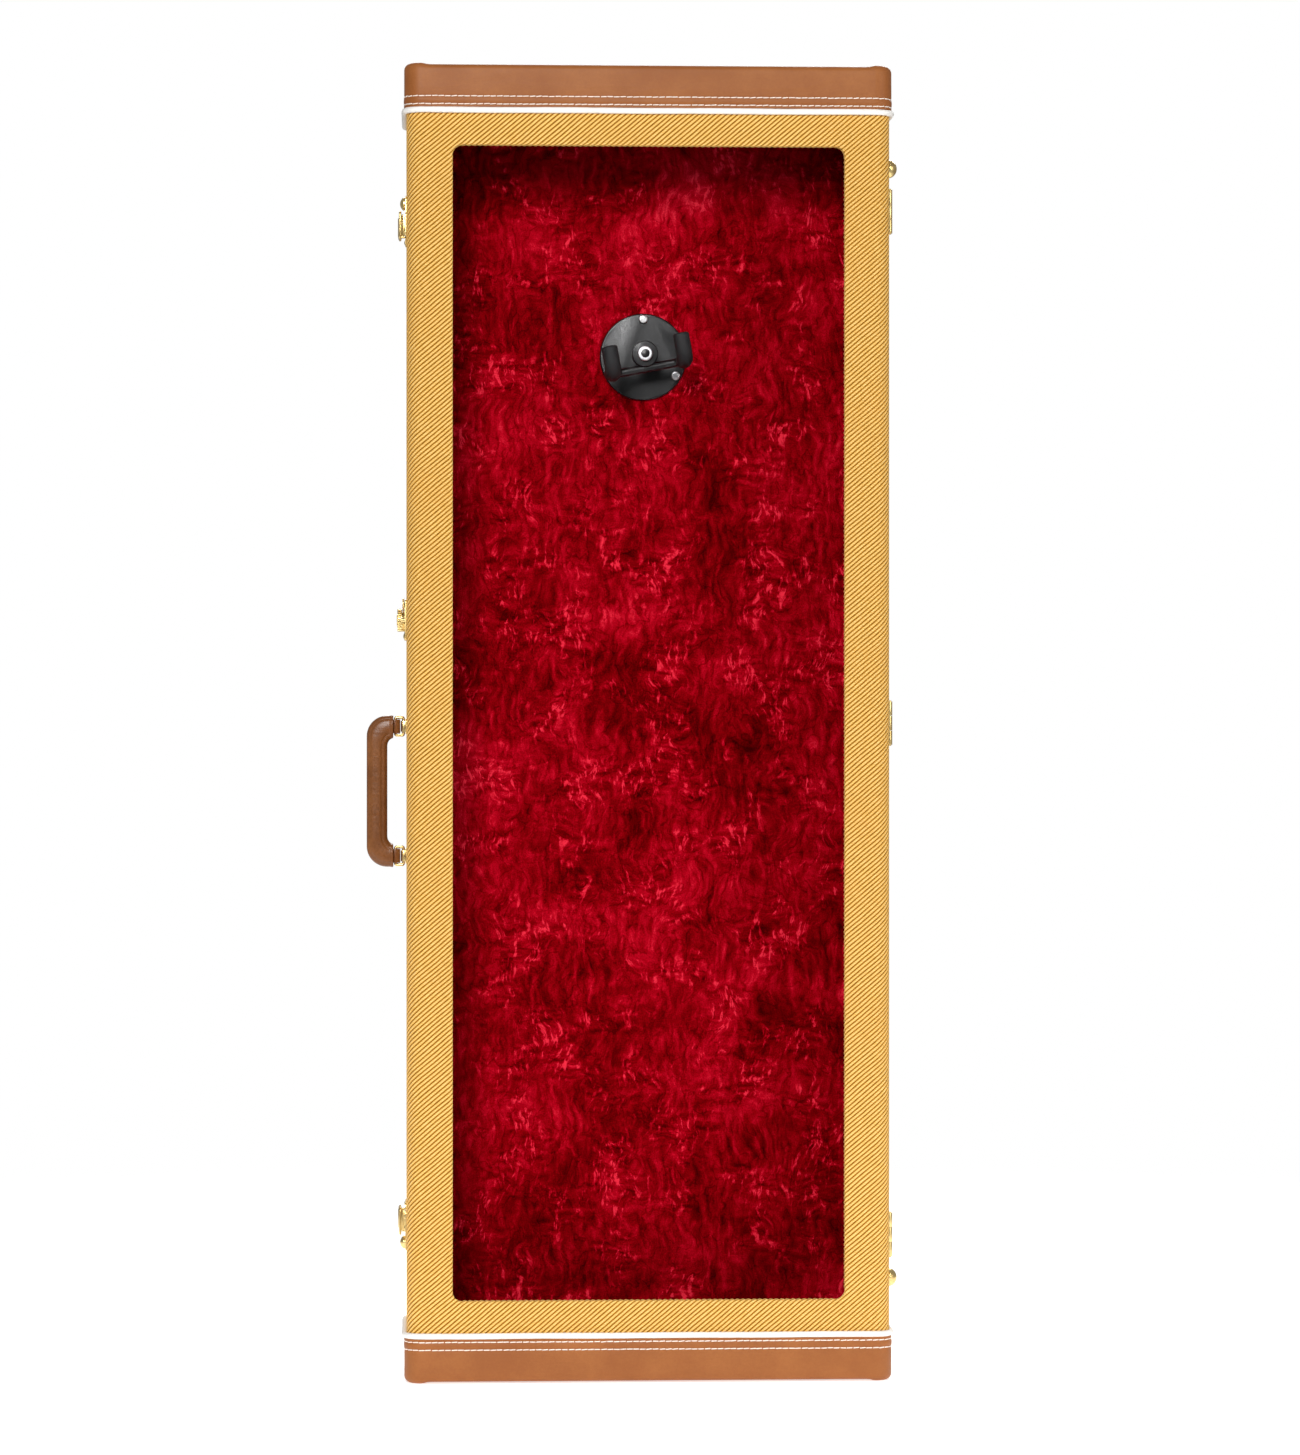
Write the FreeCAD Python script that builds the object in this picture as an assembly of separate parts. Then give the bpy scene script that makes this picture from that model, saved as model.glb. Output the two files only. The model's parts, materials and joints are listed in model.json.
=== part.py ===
import FreeCAD, Part
import math
import os

# Window-lidded guitar case that stands on end or hangs on a wall.
# X is the width, Y runs from the front (-) to the wall (+), Z is the height.
# The origin is on the bottom end face, halfway across the width and the depth.

V = FreeCAD.Vector
os.makedirs("parts", exist_ok=True)

# ---------------------------------------------------------------- shell, mm
HEIGHT = 1200.0  # over both end wraps
WIDTH = 441.0  # over the tweed
DEPTH = 140.0  # over the tweed
LID_DEPTH = 48.0  # front of the tweed to the parting plane
RIM_GAP = 0.4  # between the closed rims
LONG_EDGE_R = 13.0  # rounding of the four long edges of the wood
END_EDGE_R = 3.0  # rounding around the two ends of the wood
SIDE_BOARD = 9.0
END_BOARD = 9.0
FRONT_PANEL = 8.0
BACK_PANEL = 9.0
TWEED = 1.0
WRAP = 3.0  # leathercloth with its padding, laid on the wood
PIPING_D = 5.5
PIPING_FROM_END = 43.3  # middle of the piping from the end of the case

# ---------------------------------------------------------------- window
WINDOW_SIDE_BORDER = 42.0
WINDOW_END_BORDER = 74.75
WINDOW_R = 8.5
PANE = 3.0
PANE_LAP = 14.0  # pane past the window edge, behind the front panel
PANE_SLACK = 0.4
RETAINER_IN = 4.0  # retainer strip starts this far outside the window edge
RETAINER_OUT = 30.0  # and ends this far outside it, or at the lining
RETAINER_STEP = 5.0  # thickness of the strip over the pane
RETAINER_GAP = 0.4  # between the side strips and the end strips
RETAINER_SCREW_R = 1.6
RETAINER_HEAD_R = 3.4
RETAINER_HEAD = 1.8
RETAINER_SCREW_BITE = 5.0  # screw depth in the front panel
SCREW_HEAD_ROUNDING = 0.6  # share of the head's height
SIDE_SCREWS = 6
END_SCREWS = 3

# ---------------------------------------------------------------- lining
LINER = 2.0
PAD = 10.0
PAD_SLACK = 0.5
PAD_EDGE_R = 2.5
VALANCE_LIP = 8.0  # how far the rim valance stands into the lid
VALANCE_ROOT = 12.0
VALANCE_T = 3.0
VALANCE_CLEAR = 1.0

# ---------------------------------------------------------------- hinges, right side
HINGE_FROM_END = 128.5
HINGE_LEN = 40.0
HINGE_OUT = 3.3  # pin axis from the tweed
KNUCKLE_R = 3.0
KNUCKLE_CLEAR = 0.3
KNUCKLE_LID = 13.4
LEAF_T = 1.5
LEAF_REACH = 20.0
LEAF_CORNER_R = 1.5
LEAF_RIVET_INSET = 6.0
HINGE_PIN_R = 1.2
HINGE_PIN_HEAD = 1.0
HINGE_PIN_HEAD_LIP = 0.8
RUNNING = 0.05
PIPING_RELIEF_R = 2.6  # room around the hinge axis where the two pipings meet

# ---------------------------------------------------------------- rivets and feet
RIVET_R = 1.4
RIVET_HEAD_R = 2.6
RIVET_HEAD = 1.1
RIVET_BITE = 5.0  # rivet depth under the tweed
RIVET_INSET = 4.0  # rivet from the edge of its plate
FOOT_R = 8.25
FOOT_H = 8.0
FOOT_WALL = 2.0
FOOT_FROM_END = 92.0
FOOT_FROM_RIM = 24.0
BUMPER_R = 11.0
BUMPER_H = 6.0
BUMPER_FROM_SIDE = 50.0
BUMPER_FROM_END = 120.0
INSERT_R = 5.0
INSERT_BORE_R = 2.5
INSERT_FLANGE_R = 8.0
INSERT_FLANGE = 1.2
INSERT_FROM_SIDE = 70.5
INSERT_FROM_END = 200.0

# ---------------------------------------------------------------- draw latches, left side
LATCH_FROM_END = 138.0
LATCH_PLATE_LEN = 44.0
LATCH_PLATE_T = 1.2
LATCH_PLATE_REACH = 38.0
PLATE_CORNER_R = 4.0
LATCH_SHIFT = 6.0  # lever towards the middle of the case
LATCH_DOME_SHIFT = 15.5
LATCH_DOME_R = 6.0
LATCH_DOME_H = 6.0
LATCH_DOME_WALL = 3.0
LEVER_HALF = 8.6
EAR_GAP = 0.3
EAR_T = 1.2
EAR_R = 3.0
FULCRUM_OUT = 4.0
FULCRUM_BACK = 9.0  # behind the parting plane
FULCRUM_PIN_R = 1.2
LEVER_EYE_R = 2.3
LEVER_TAIL = 30.0  # lever end from the fulcrum
LEVER_T = 1.7
LEVER_CURL = 0.9  # lever's end away from the plate
LEVER_WAIST = 0.4  # lever's dip behind the bail's eye
LEVER_LIP = 5.0  # length of the curled end
BAIL_WIRE_R = 1.1
BAIL_RUNNING = 0.06
BAIL_PIVOT_OUT = 6.0
BAIL_PIVOT_BACK = 17.0
BAIL_EYE_R = 2.0
BAIL_BITE = 3.0  # bail ends inside the lever
BAIL_BAR_OUT = 5.8
BAIL_BAR_FRONT = 12.0  # in front of the parting plane
BAIL_BEND_R = 2.4
KEEPER_TOP_CLEAR = 0.3
KEEPER_HALF = 9.5
KEEPER_REACH = 24.0
KEEPER_FROM_RIM = 3.0
KEEPER_BORDER = 1.0  # plate beside the ridge
KEEPER_CORNER_R = 2.5
KEEPER_SLOPE = 1.2
KEEPER_RIDGE = 3.8  # thickness of the ridge at its root
KEEPER_RIVET_Z = 5.0

# ---------------------------------------------------------------- key lock, left side
LOCK_ABOVE_MIDDLE = 94.6
LOCK_PLATE_LEN = 37.0
LOCK_PLATE_T = 2.0
LOCK_BACK = 12.5  # plug axis behind the parting plane
LOCK_PLATE_REACH = 31.0
BOSS_R = 10.5
BOSS_WALL = 2.0
BOSS_H = 6.5
BOSS_CAP = 1.5
BOSS_TOP_R = 1.0
LOCK_RIVET_Z = 14.0
LOCK_LOW_RIVET_INSET = 3.4
BOSS_FLUTES = 24
BOSS_FLUTE_R = 0.8
PLUG_R = 5.0
PLUG_RUNNING = 0.1
PLUG_PROUD = 0.5
KEYWAY_W = 1.6
KEYWAY_L = 6.0
KEYWAY_DEEP = 4.0
HOOK_T = 1.5
HOOK_LIFT = 0.4  # above the lock plate
HOOK_HUB_R = 7.5
HOOK_ARM_W = 4.0
HOOK_BAND = 2.6
HOOK_CLEAR = 0.5  # between the hook and the strike stud
HOOK_ARC = 52.0
HOOK_REST = 120.0  # arm from the forward direction, unlocked
ARM_HALF_DEG = 16.0  # half the arm's width seen from the plug axis, with room to spare
STUD_R = 1.9
STUD_FRONT = 3.5  # in front of the parting plane
STUD_H = 5.2
STRIKE_T = 1.2
STRIKE_REACH = 16.0
STRIKE_CORNER_R = 3.0

# ---------------------------------------------------------------- handle, left side
HANDLE_BELOW_MIDDLE = 63.0
HANDLE_LEN = 140.0
HANDLE_OUT = 37.0
GRIP_T = 19.0
GRIP_W = 26.0
GRIP_LEG = 20.0
GRIP_FOOT = 12.5  # bottom of the grip's legs from the tweed
GRIP_CORNER_R = 19.0
GRIP_INNER_R = 8.0
GRIP_EDGE_R = 5.0
RING_SPREAD = 60.0  # ring from the middle of the handle
RING_LEN = 19.2
RING_WIRE_R = 1.4
RING_PIVOT_OUT = 3.0
RING_TOP_OUT = 10.5
RING_BEND_R = 1.6
TAB_R = 4.5
TAB_CLEAR = 0.2  # between a tab and the start of its ring's bends
STRAP_HALF = 5.0
STRAP_WALL = 1.1
STRAP_RUNNING = 0.08
BRACKET_T = 1.2
BRACKET_W = 26.0
BRACKET_LEN = 14.0
BRACKET_CORNER_R = 3.0

# ---------------------------------------------------------------- neck hanger
HANGER_FROM_TOP = 258.0
HANGER_PLATE_R = 40.5
HANGER_PLATE_T = 4.0
HANGER_SCREW_CIRCLE_R = 35.0
HANGER_SCREWS = 3
HANGER_SCREW_R = 2.0
HANGER_HEAD_R = 4.2
HANGER_HEAD = 2.4
HANGER_SCREW_BITE = 5.0
STEM_R = 8.0
STEM_LEN = 26.6
PIVOT_R = 4.0
HUB_R = 12.0
HUB_LEN = 14.0
HUB_END_CLEAR = 0.4
NUT_R = 7.0
NUT_T = 4.0
YOKE_HALF = 33.5
YOKE_DROP = 13.0
YOKE_REACH = 40.0
YOKE_UP = 9.0
YOKE_ROD_R = 4.0
YOKE_BEND_R = 10.0
YOKE_TILT = 10.7  # at rest, right side up
SLEEVE_R = 7.5
SLEEVE_START = 10.0  # sleeve starts this far in front of the cross bar
SLEEVE_CAP = 1.6
SLEEVE_TIP_R = 2.5
HANGER_PLATE_EDGE_R = 1.5
NUT_EDGE_R = 1.2
HUB_EDGE_R = 1.0

# ---------------------------------------------------------------- derived places
HALF_W = WIDTH / 2
HALF_D = DEPTH / 2
PART_Y = LID_DEPTH - HALF_D
LID_RIM_Y = PART_Y - RIM_GAP / 2
BASE_RIM_Y = PART_Y + RIM_GAP / 2
MIDDLE_Z = HEIGHT / 2
WOOD_X = HALF_W - TWEED
WOOD_Y = HALF_D - TWEED
WOOD_Z0 = WRAP
WOOD_Z1 = HEIGHT - WRAP
INNER_X = WOOD_X - SIDE_BOARD
INNER_Z0 = WOOD_Z0 + END_BOARD
INNER_Z1 = WOOD_Z1 - END_BOARD
PANEL_BACK_Y = FRONT_PANEL - WOOD_Y
PANE_BACK_Y = PANEL_BACK_Y + PANE
BACK_PANEL_Y = WOOD_Y - BACK_PANEL
PAD_Y = BACK_PANEL_Y - PAD
WINDOW_X = HALF_W - WINDOW_SIDE_BORDER
WINDOW_Z = MIDDLE_Z - WINDOW_END_BORDER
PIPING_R = PIPING_D / 2
FAR = 2 * (HEIGHT + WIDTH + DEPTH)  # longer than anything in the case


def save(name, shape):
    if not shape.isValid():
        raise ValueError(name + " is not a valid shape")
    shape.exportStep("parts/" + name + ".step")
    print(name, len(shape.Solids), "solid(s)", round(shape.Volume / 1000, 2), "cm3")


# ---------------------------------------------------------------- helpers
def box(x0, x1, y0, y1, z0, z1):
    return Part.makeBox(x1 - x0, y1 - y0, z1 - z0, V(x0, y0, z0))


def cyl_x(y, z, r, x0, x1):
    return Part.makeCylinder(r, x1 - x0, V(x0, y, z), V(1, 0, 0))


def cyl_y(x, z, r, y0, y1):
    return Part.makeCylinder(r, y1 - y0, V(x, y0, z), V(0, 1, 0))


def cyl_z(x, y, r, z0, z1):
    return Part.makeCylinder(r, z1 - z0, V(x, y, z0), V(0, 0, 1))


def join(shapes):
    return shapes[0].multiFuse(shapes[1:]).removeSplitter()


def group(shapes):
    return Part.makeCompound(shapes)


def polygon_z(points, z0, z1):
    """Upright prism over a closed outline of (x, y) points."""
    corners = [V(x, y, z0) for x, y in points]
    outline = Part.makePolygon(corners + corners[:1])
    return Part.Face(outline).extrude(V(0, 0, z1 - z0))


def bent_path(points, bends, closed=False):
    """Straight runs through the points, joined by tangent arcs of the given radii."""
    count = len(points)
    edges = []
    ends = []
    for i in range(count):
        here = points[i]
        if not closed and i in (0, count - 1):
            ends.append((here, None, here))
            continue
        into = (here - points[i - 1]).normalize()
        out = (points[(i + 1) % count] - here).normalize()
        turn = into.getAngle(out)
        back = bends * math.tan(turn / 2)
        rise = bends * (1 / math.cos(turn / 2) - 1)
        middle = here + (out - into).normalize() * rise
        ends.append((here - into * back, middle, here + out * back))
    for i in range(count):
        start, middle, stop = ends[i]
        if middle is not None:
            edges.append(Part.Arc(start, middle, stop).toShape())
        if i < count - 1 or closed:
            edges.append(Part.LineSegment(stop, ends[(i + 1) % count][0]).toShape())
    return Part.Wire(Part.__sortEdges__(edges))


def tube_along(path, start, along, r):
    """Round bar along a path that begins at start and heads along the given way."""
    ring = Part.Wire(Part.makeCircle(r, start, along))
    return path.makePipeShell([ring], True, True)


def rounded_corners(half_a, half_b):
    return [(-half_a, -half_b), (half_a, -half_b), (half_a, half_b), (-half_a, half_b)]


def rounded_prism_z(half_x, half_y, r, z0, z1):
    corners = [V(x, y, z0) for x, y in rounded_corners(half_x, half_y)]
    return Part.Face(bent_path(corners, r, True)).extrude(V(0, 0, z1 - z0))


def rounded_plate_y(half_x, half_z, r, y0, y1, mid_z):
    corners = [V(x, y0, mid_z + z) for x, z in rounded_corners(half_x, half_z)]
    return Part.Face(bent_path(corners, r, True)).extrude(V(0, y1 - y0, 0))


def rounded_plate_x(side, u0, u1, y0, y1, z0, z1, r):
    """Thin plate on a side wall, from u0 to u1 out of the tweed, with round corners."""
    x = side * (HALF_W + u0)
    corners = [V(x, y0, z0), V(x, y1, z0), V(x, y1, z1), V(x, y0, z1)]
    return Part.Face(bent_path(corners, r, True)).extrude(V(side * (u1 - u0), 0, 0))


def at_side(side, u):
    return side * (HALF_W + u)


def round_on_side(side, y, z, r, u0, u1):
    """Cylinder square to a side wall, from u0 to u1 out of the tweed."""
    lo, hi = sorted((at_side(side, u0), at_side(side, u1)))
    return cyl_x(y, z, r, lo, hi)


def frame_ring(half_x, z0, z1, wall, y0, y1):
    """Four-sided rectangular ring with its outside at half_x, z0 and z1."""
    outer = box(-half_x, half_x, y0, y1, z0, z1)
    inner_x = half_x - wall
    return outer.cut(box(-inner_x, inner_x, y0, y1, z0 + wall, z1 - wall))


def dome_on_side(side, y, z, r, wall, height):
    """Round boss with a straight wall and a spherical cap."""
    cap = height - wall
    ball_r = (r * r + cap * cap) / (2 * cap)
    ball = Part.makeSphere(ball_r, V(at_side(side, height - ball_r), y, z))
    return round_on_side(side, y, z, r, 0, height).common(ball)


def rivets_on_side(side, places, surface):
    """Domed rivets at (y, z) places; surface is the height of the metal under the head."""
    made = []
    for y, z in places:
        shank = round_on_side(side, y, z, RIVET_R, -RIVET_BITE, surface)
        ball_r = (RIVET_HEAD_R**2 + RIVET_HEAD**2) / (2 * RIVET_HEAD)
        middle = V(at_side(side, surface + RIVET_HEAD - ball_r), y, z)
        head = Part.makeSphere(ball_r, middle)
        blank = round_on_side(side, y, z, RIVET_HEAD_R, surface, surface + RIVET_HEAD)
        made.append(join([shank, head.common(blank)]))
    return made


def drilled(shape, tools):
    """The shape with room for the shanks that pass through it."""
    return shape.cut(group(tools)) if tools else shape


def lid_half(shape):
    return shape.common(box(-FAR, FAR, -FAR, LID_RIM_Y, -FAR, FAR))


def base_half(shape):
    return shape.common(box(-FAR, FAR, BASE_RIM_Y, FAR, -FAR, FAR))


def body_form(grow):
    """The outside of the wood, grown by a covering, with rounded long and end edges."""
    z0 = WOOD_Z0 - grow
    z1 = WOOD_Z1 + grow
    block = rounded_prism_z(WOOD_X + grow, WOOD_Y + grow, LONG_EDGE_R + grow, z0, z1)
    rims = []
    for edge in block.Edges:
        heights = [vertex.Z for vertex in edge.Vertexes]
        if max(heights) - min(heights) < 0.01:
            rims.append(edge)
    return block.makeFillet(END_EDGE_R + grow, rims)


WOOD_FORM = body_form(0)

# ---------------------------------------------------------------- places of the hardware
HINGE_Z = [HINGE_FROM_END, MIDDLE_Z, HEIGHT - HINGE_FROM_END]
LATCHES = {"lower": (-1, LATCH_FROM_END), "upper": (1, HEIGHT - LATCH_FROM_END)}
LOCK_Z = MIDDLE_Z + LOCK_ABOVE_MIDDLE
LOCK_Y = PART_Y + LOCK_BACK
HANDLE_Z = MIDDLE_Z - HANDLE_BELOW_MIDDLE
HANDLE_Y = (BASE_RIM_Y + HALF_D) / 2
HANGER_Z = HEIGHT - HANGER_FROM_TOP
HINGE_X = HALF_W + HINGE_OUT
FOOT_Z = [FOOT_FROM_END, HEIGHT - FOOT_FROM_END]
LEFT, RIGHT = -1, 1

# Rivets: (y, z) places on each side wall and the height of the metal under the heads.
leaf_rivets = [(LEAF_REACH - LEAF_RIVET_INSET, dz) for dz in (-HINGE_LEN / 3, 0, HINGE_LEN / 3)]
base_rivets = rivets_on_side(
    RIGHT, [(PART_Y + dy, z + dz) for z in HINGE_Z for dy, dz in leaf_rivets], LEAF_T
)
lid_rivets = rivets_on_side(
    RIGHT, [(PART_Y - dy, z + dz) for z in HINGE_Z for dy, dz in leaf_rivets], LEAF_T
)
for out_way, latch_z in LATCHES.values():
    lever_z = latch_z - out_way * LATCH_SHIFT
    far_corners = [
        (PART_Y + LATCH_PLATE_REACH - RIVET_INSET, latch_z + way * (LATCH_PLATE_LEN / 2 - RIVET_INSET))
        for way in (-1, 1)
    ]
    base_rivets += rivets_on_side(LEFT, far_corners, LATCH_PLATE_T)
    keeper_spots = [
        (PART_Y - KEEPER_REACH + RIVET_INSET, lever_z + way * KEEPER_RIVET_Z) for way in (-1, 1)
    ]
    lid_rivets += rivets_on_side(LEFT, keeper_spots, LATCH_PLATE_T)
lock_spots = [
    (PART_Y + LOCK_PLATE_REACH - RIVET_INSET, LOCK_Z + way * LOCK_RIVET_Z) for way in (-1, 1)
]
lock_spots.append((LOCK_Y, LOCK_Z - LOCK_PLATE_LEN / 2 + LOCK_LOW_RIVET_INSET))
base_rivets += rivets_on_side(LEFT, lock_spots, LOCK_PLATE_T)
strike_spots = [
    (PART_Y - STRIKE_REACH + RIVET_INSET, LOCK_Z + way * LOCK_RIVET_Z) for way in (-1, 1)
]
lid_rivets += rivets_on_side(LEFT, strike_spots, STRIKE_T)
bracket_spots = [
    (HANDLE_Y + dy, HANDLE_Z + way * RING_SPREAD)
    for way in (-1, 1)
    for dy in (RIVET_INSET - BRACKET_W / 2, BRACKET_W / 2 - RIVET_INSET)
]
base_rivets += rivets_on_side(LEFT, bracket_spots, BRACKET_T)


# ---------------------------------------------------------------- wooden frames
def boards(prefix, half, y0, y1, shanks):
    """Two side boards for the full height and two end boards between them."""
    for name, side in (("left", LEFT), ("right", RIGHT)):
        lo, hi = sorted((side * INNER_X, side * WOOD_X))
        board = box(lo, hi, y0, y1, WOOD_Z0, WOOD_Z1)
        save(f"{prefix}_board_{name}", drilled(half(board.common(WOOD_FORM)), shanks))
    for name, z0, z1 in (
        ("bottom", WOOD_Z0, INNER_Z0),
        ("top", INNER_Z1, WOOD_Z1),
    ):
        board = box(-INNER_X, INNER_X, y0, y1, z0, z1)
        save(f"{prefix}_board_{name}", half(board.common(WOOD_FORM)))


boards("lid", lid_half, -WOOD_Y, LID_RIM_Y, lid_rivets)
boards("base", base_half, BASE_RIM_Y, WOOD_Y, base_rivets)

# ---------------------------------------------------------------- window parts
retainer_mid = (PANE_LAP + PANE_SLACK + RETAINER_OUT) / 2  # screws, from the window edge
screw_x = WINDOW_X + retainer_mid
screw_z = WINDOW_Z + retainer_mid
side_step = 2 * (screw_z - retainer_mid) / (SIDE_SCREWS - 1)
end_step = 2 * (screw_x - retainer_mid) / (END_SCREWS + 1)
screw_places = [
    (way * screw_x, MIDDLE_Z - screw_z + retainer_mid + i * side_step)
    for way in (-1, 1)
    for i in range(SIDE_SCREWS)
]
screw_places += [
    (-screw_x + retainer_mid + (i + 1) * end_step, MIDDLE_Z + way * screw_z)
    for way in (-1, 1)
    for i in range(END_SCREWS)
]
strip_back_y = PANE_BACK_Y + RETAINER_STEP
retainer_screws = []
for x, z in screw_places:
    shank = cyl_y(x, z, RETAINER_SCREW_R, PANEL_BACK_Y - RETAINER_SCREW_BITE, strip_back_y)
    head = cyl_y(x, z, RETAINER_HEAD_R, strip_back_y, strip_back_y + RETAINER_HEAD)
    rounded = head.makeFillet(RETAINER_HEAD * SCREW_HEAD_ROUNDING, [head.Edges[2]])
    retainer_screws.append(join([shank, rounded]))
save("retainer_screws", group(retainer_screws))

front_panel = box(-INNER_X, INNER_X, -WOOD_Y, PANEL_BACK_Y, INNER_Z0, INNER_Z1)
wood_window = rounded_plate_y(
    WINDOW_X + TWEED, WINDOW_Z + TWEED, WINDOW_R + TWEED, -HALF_D, PANEL_BACK_Y, MIDDLE_Z
)
front_panel = front_panel.common(WOOD_FORM).cut(wood_window)
save("lid_front_panel", drilled(front_panel, retainer_screws))

pane_x = WINDOW_X + PANE_LAP
pane_z = WINDOW_Z + PANE_LAP
pane = box(
    -pane_x, pane_x, PANEL_BACK_Y, PANE_BACK_Y, MIDDLE_Z - pane_z, MIDDLE_Z + pane_z
)
save("window_pane", pane)


def ring_strip(half_in, y0, y1):
    """Rectangular ring around the window, its inner edge measured from the window edge."""
    out_x = min(WINDOW_X + RETAINER_OUT, INNER_X - LINER)
    out_z = min(WINDOW_Z + RETAINER_OUT, INNER_Z1 - LINER - MIDDLE_Z)
    in_x, in_z = WINDOW_X + half_in, WINDOW_Z + half_in
    outer = box(-out_x, out_x, y0, y1, MIDDLE_Z - out_z, MIDDLE_Z + out_z)
    return outer.cut(box(-in_x, in_x, y0, y1, MIDDLE_Z - in_z, MIDDLE_Z + in_z))


foot_in = PANE_LAP + PANE_SLACK
strip = join(
    [
        ring_strip(RETAINER_IN, PANE_BACK_Y, strip_back_y),
        ring_strip(foot_in, PANEL_BACK_Y, PANE_BACK_Y),
    ]
)
strip = drilled(strip, retainer_screws)
strip_end_z = WINDOW_Z + RETAINER_IN
gaps = [
    box(-FAR, FAR, -FAR, FAR, z - RETAINER_GAP / 2, z + RETAINER_GAP / 2)
    for z in (MIDDLE_Z - strip_end_z, MIDDLE_Z + strip_end_z)
]
save("pane_retainers", strip.cut(group(gaps)))

# ---------------------------------------------------------------- tweed covering
TWEED_Z0 = PIPING_FROM_END + PIPING_R
TWEED_Z1 = HEIGHT - TWEED_Z0
tweed_sleeve = rounded_prism_z(HALF_W, HALF_D, LONG_EDGE_R + TWEED, TWEED_Z0, TWEED_Z1).cut(
    rounded_prism_z(WOOD_X, WOOD_Y, LONG_EDGE_R, TWEED_Z0, TWEED_Z1)
)
clear_window = rounded_plate_y(
    WINDOW_X, WINDOW_Z, WINDOW_R, -HALF_D, PANEL_BACK_Y, MIDDLE_Z
)
wood_window_lining = wood_window.cut(clear_window)
lid_tweed = join([lid_half(tweed_sleeve).cut(clear_window), wood_window_lining])
save("lid_tweed", drilled(lid_tweed, lid_rivets))

insert_x = HALF_W - INSERT_FROM_SIDE
insert_places = [
    (x, z) for x in (-insert_x, insert_x) for z in (INSERT_FROM_END, HEIGHT - INSERT_FROM_END)
]
inserts = []
for x, z in insert_places:
    barrel = cyl_y(x, z, INSERT_R, BACK_PANEL_Y, HALF_D)
    flange = cyl_y(x, z, INSERT_FLANGE_R, HALF_D, HALF_D + INSERT_FLANGE)
    bore = cyl_y(x, z, INSERT_BORE_R, BACK_PANEL_Y, HALF_D + INSERT_FLANGE)
    inserts.append(join([barrel, flange]).cut(bore))
save("wall_inserts", group(inserts))
insert_holes = [cyl_y(x, z, INSERT_R, BACK_PANEL_Y, HALF_D) for x, z in insert_places]
save("base_tweed", drilled(base_half(tweed_sleeve), base_rivets + insert_holes))

bumpers = []
for x in (-HALF_W + BUMPER_FROM_SIDE, HALF_W - BUMPER_FROM_SIDE):
    for z in (BUMPER_FROM_END, HEIGHT - BUMPER_FROM_END):
        puck = cyl_y(x, z, BUMPER_R, HALF_D, HALF_D + BUMPER_H)
        far_rim = [e for e in puck.Edges if min(v.Y for v in e.Vertexes) > HALF_D + 1]
        bumpers.append(puck.makeChamfer(1.5, far_rim))
save("back_bumpers", group(bumpers))

# ---------------------------------------------------------------- end wraps and piping
wrap_shell = body_form(WRAP).cut(WOOD_FORM)
wrap_end = PIPING_FROM_END - PIPING_R
for name, z0, z1 in (("bottom", -1.0, wrap_end), ("top", HEIGHT - wrap_end, HEIGHT + 1)):
    wrap = wrap_shell.common(box(-FAR, FAR, -FAR, FAR, z0, z1))
    save("lid_wrap_" + name, lid_half(wrap))
    save("base_wrap_" + name, base_half(wrap))

hinge_relief = cyl_z(HINGE_X, PART_Y, PIPING_RELIEF_R, 0, HEIGHT)
pipings = []
for z in (PIPING_FROM_END, HEIGHT - PIPING_FROM_END):
    half_x, half_y = WOOD_X + PIPING_R, WOOD_Y + PIPING_R
    loop = [V(x, y, z) for x, y in rounded_corners(half_x, half_y)]
    path = bent_path(loop, LONG_EDGE_R + PIPING_R, True)
    start = path.Edges[0].Vertexes[0].Point
    way = path.Edges[0].tangentAt(path.Edges[0].FirstParameter)
    pipings.append(tube_along(path, start, way, PIPING_R).cut(hinge_relief))
save("lid_piping", group([lid_half(piping) for piping in pipings]))
save("base_piping", group([base_half(piping) for piping in pipings]))

# ---------------------------------------------------------------- base interior
hanger_holes = []
hanger_screws = []
for i in range(HANGER_SCREWS):
    angle = math.pi / 2 + i * 2 * math.pi / HANGER_SCREWS
    x = HANGER_SCREW_CIRCLE_R * math.cos(angle)
    z = HANGER_Z + HANGER_SCREW_CIRCLE_R * math.sin(angle)
    plate_front = PAD_Y - HANGER_PLATE_T
    shank = cyl_y(x, z, HANGER_SCREW_R, plate_front, BACK_PANEL_Y + HANGER_SCREW_BITE)
    head = cyl_y(x, z, HANGER_HEAD_R, plate_front - HANGER_HEAD, plate_front)
    front_rim = [e for e in head.Edges if max(v.Y for v in e.Vertexes) < plate_front - 1]
    hanger_screws.append(join([shank, head.makeFillet(HANGER_HEAD * SCREW_HEAD_ROUNDING, front_rim)]))
    hanger_holes.append(shank)
save("hanger_screws", group(hanger_screws))

back_panel = box(-INNER_X, INNER_X, BACK_PANEL_Y, WOOD_Y, INNER_Z0, INNER_Z1)
back_panel = back_panel.common(WOOD_FORM)
save("back_panel", drilled(back_panel, insert_holes + hanger_holes))

pad_x = INNER_X - LINER - PAD_SLACK
pad_z0 = INNER_Z0 + LINER + PAD_SLACK
pad_z1 = INNER_Z1 - LINER - PAD_SLACK
pad = box(-pad_x, pad_x, PAD_Y, BACK_PANEL_Y, pad_z0, pad_z1)
pad_front = [e for e in pad.Edges if max(v.Y for v in e.Vertexes) < PAD_Y + 0.01]
save("back_pad", drilled(pad.makeFillet(PAD_EDGE_R, pad_front), hanger_holes))

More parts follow.
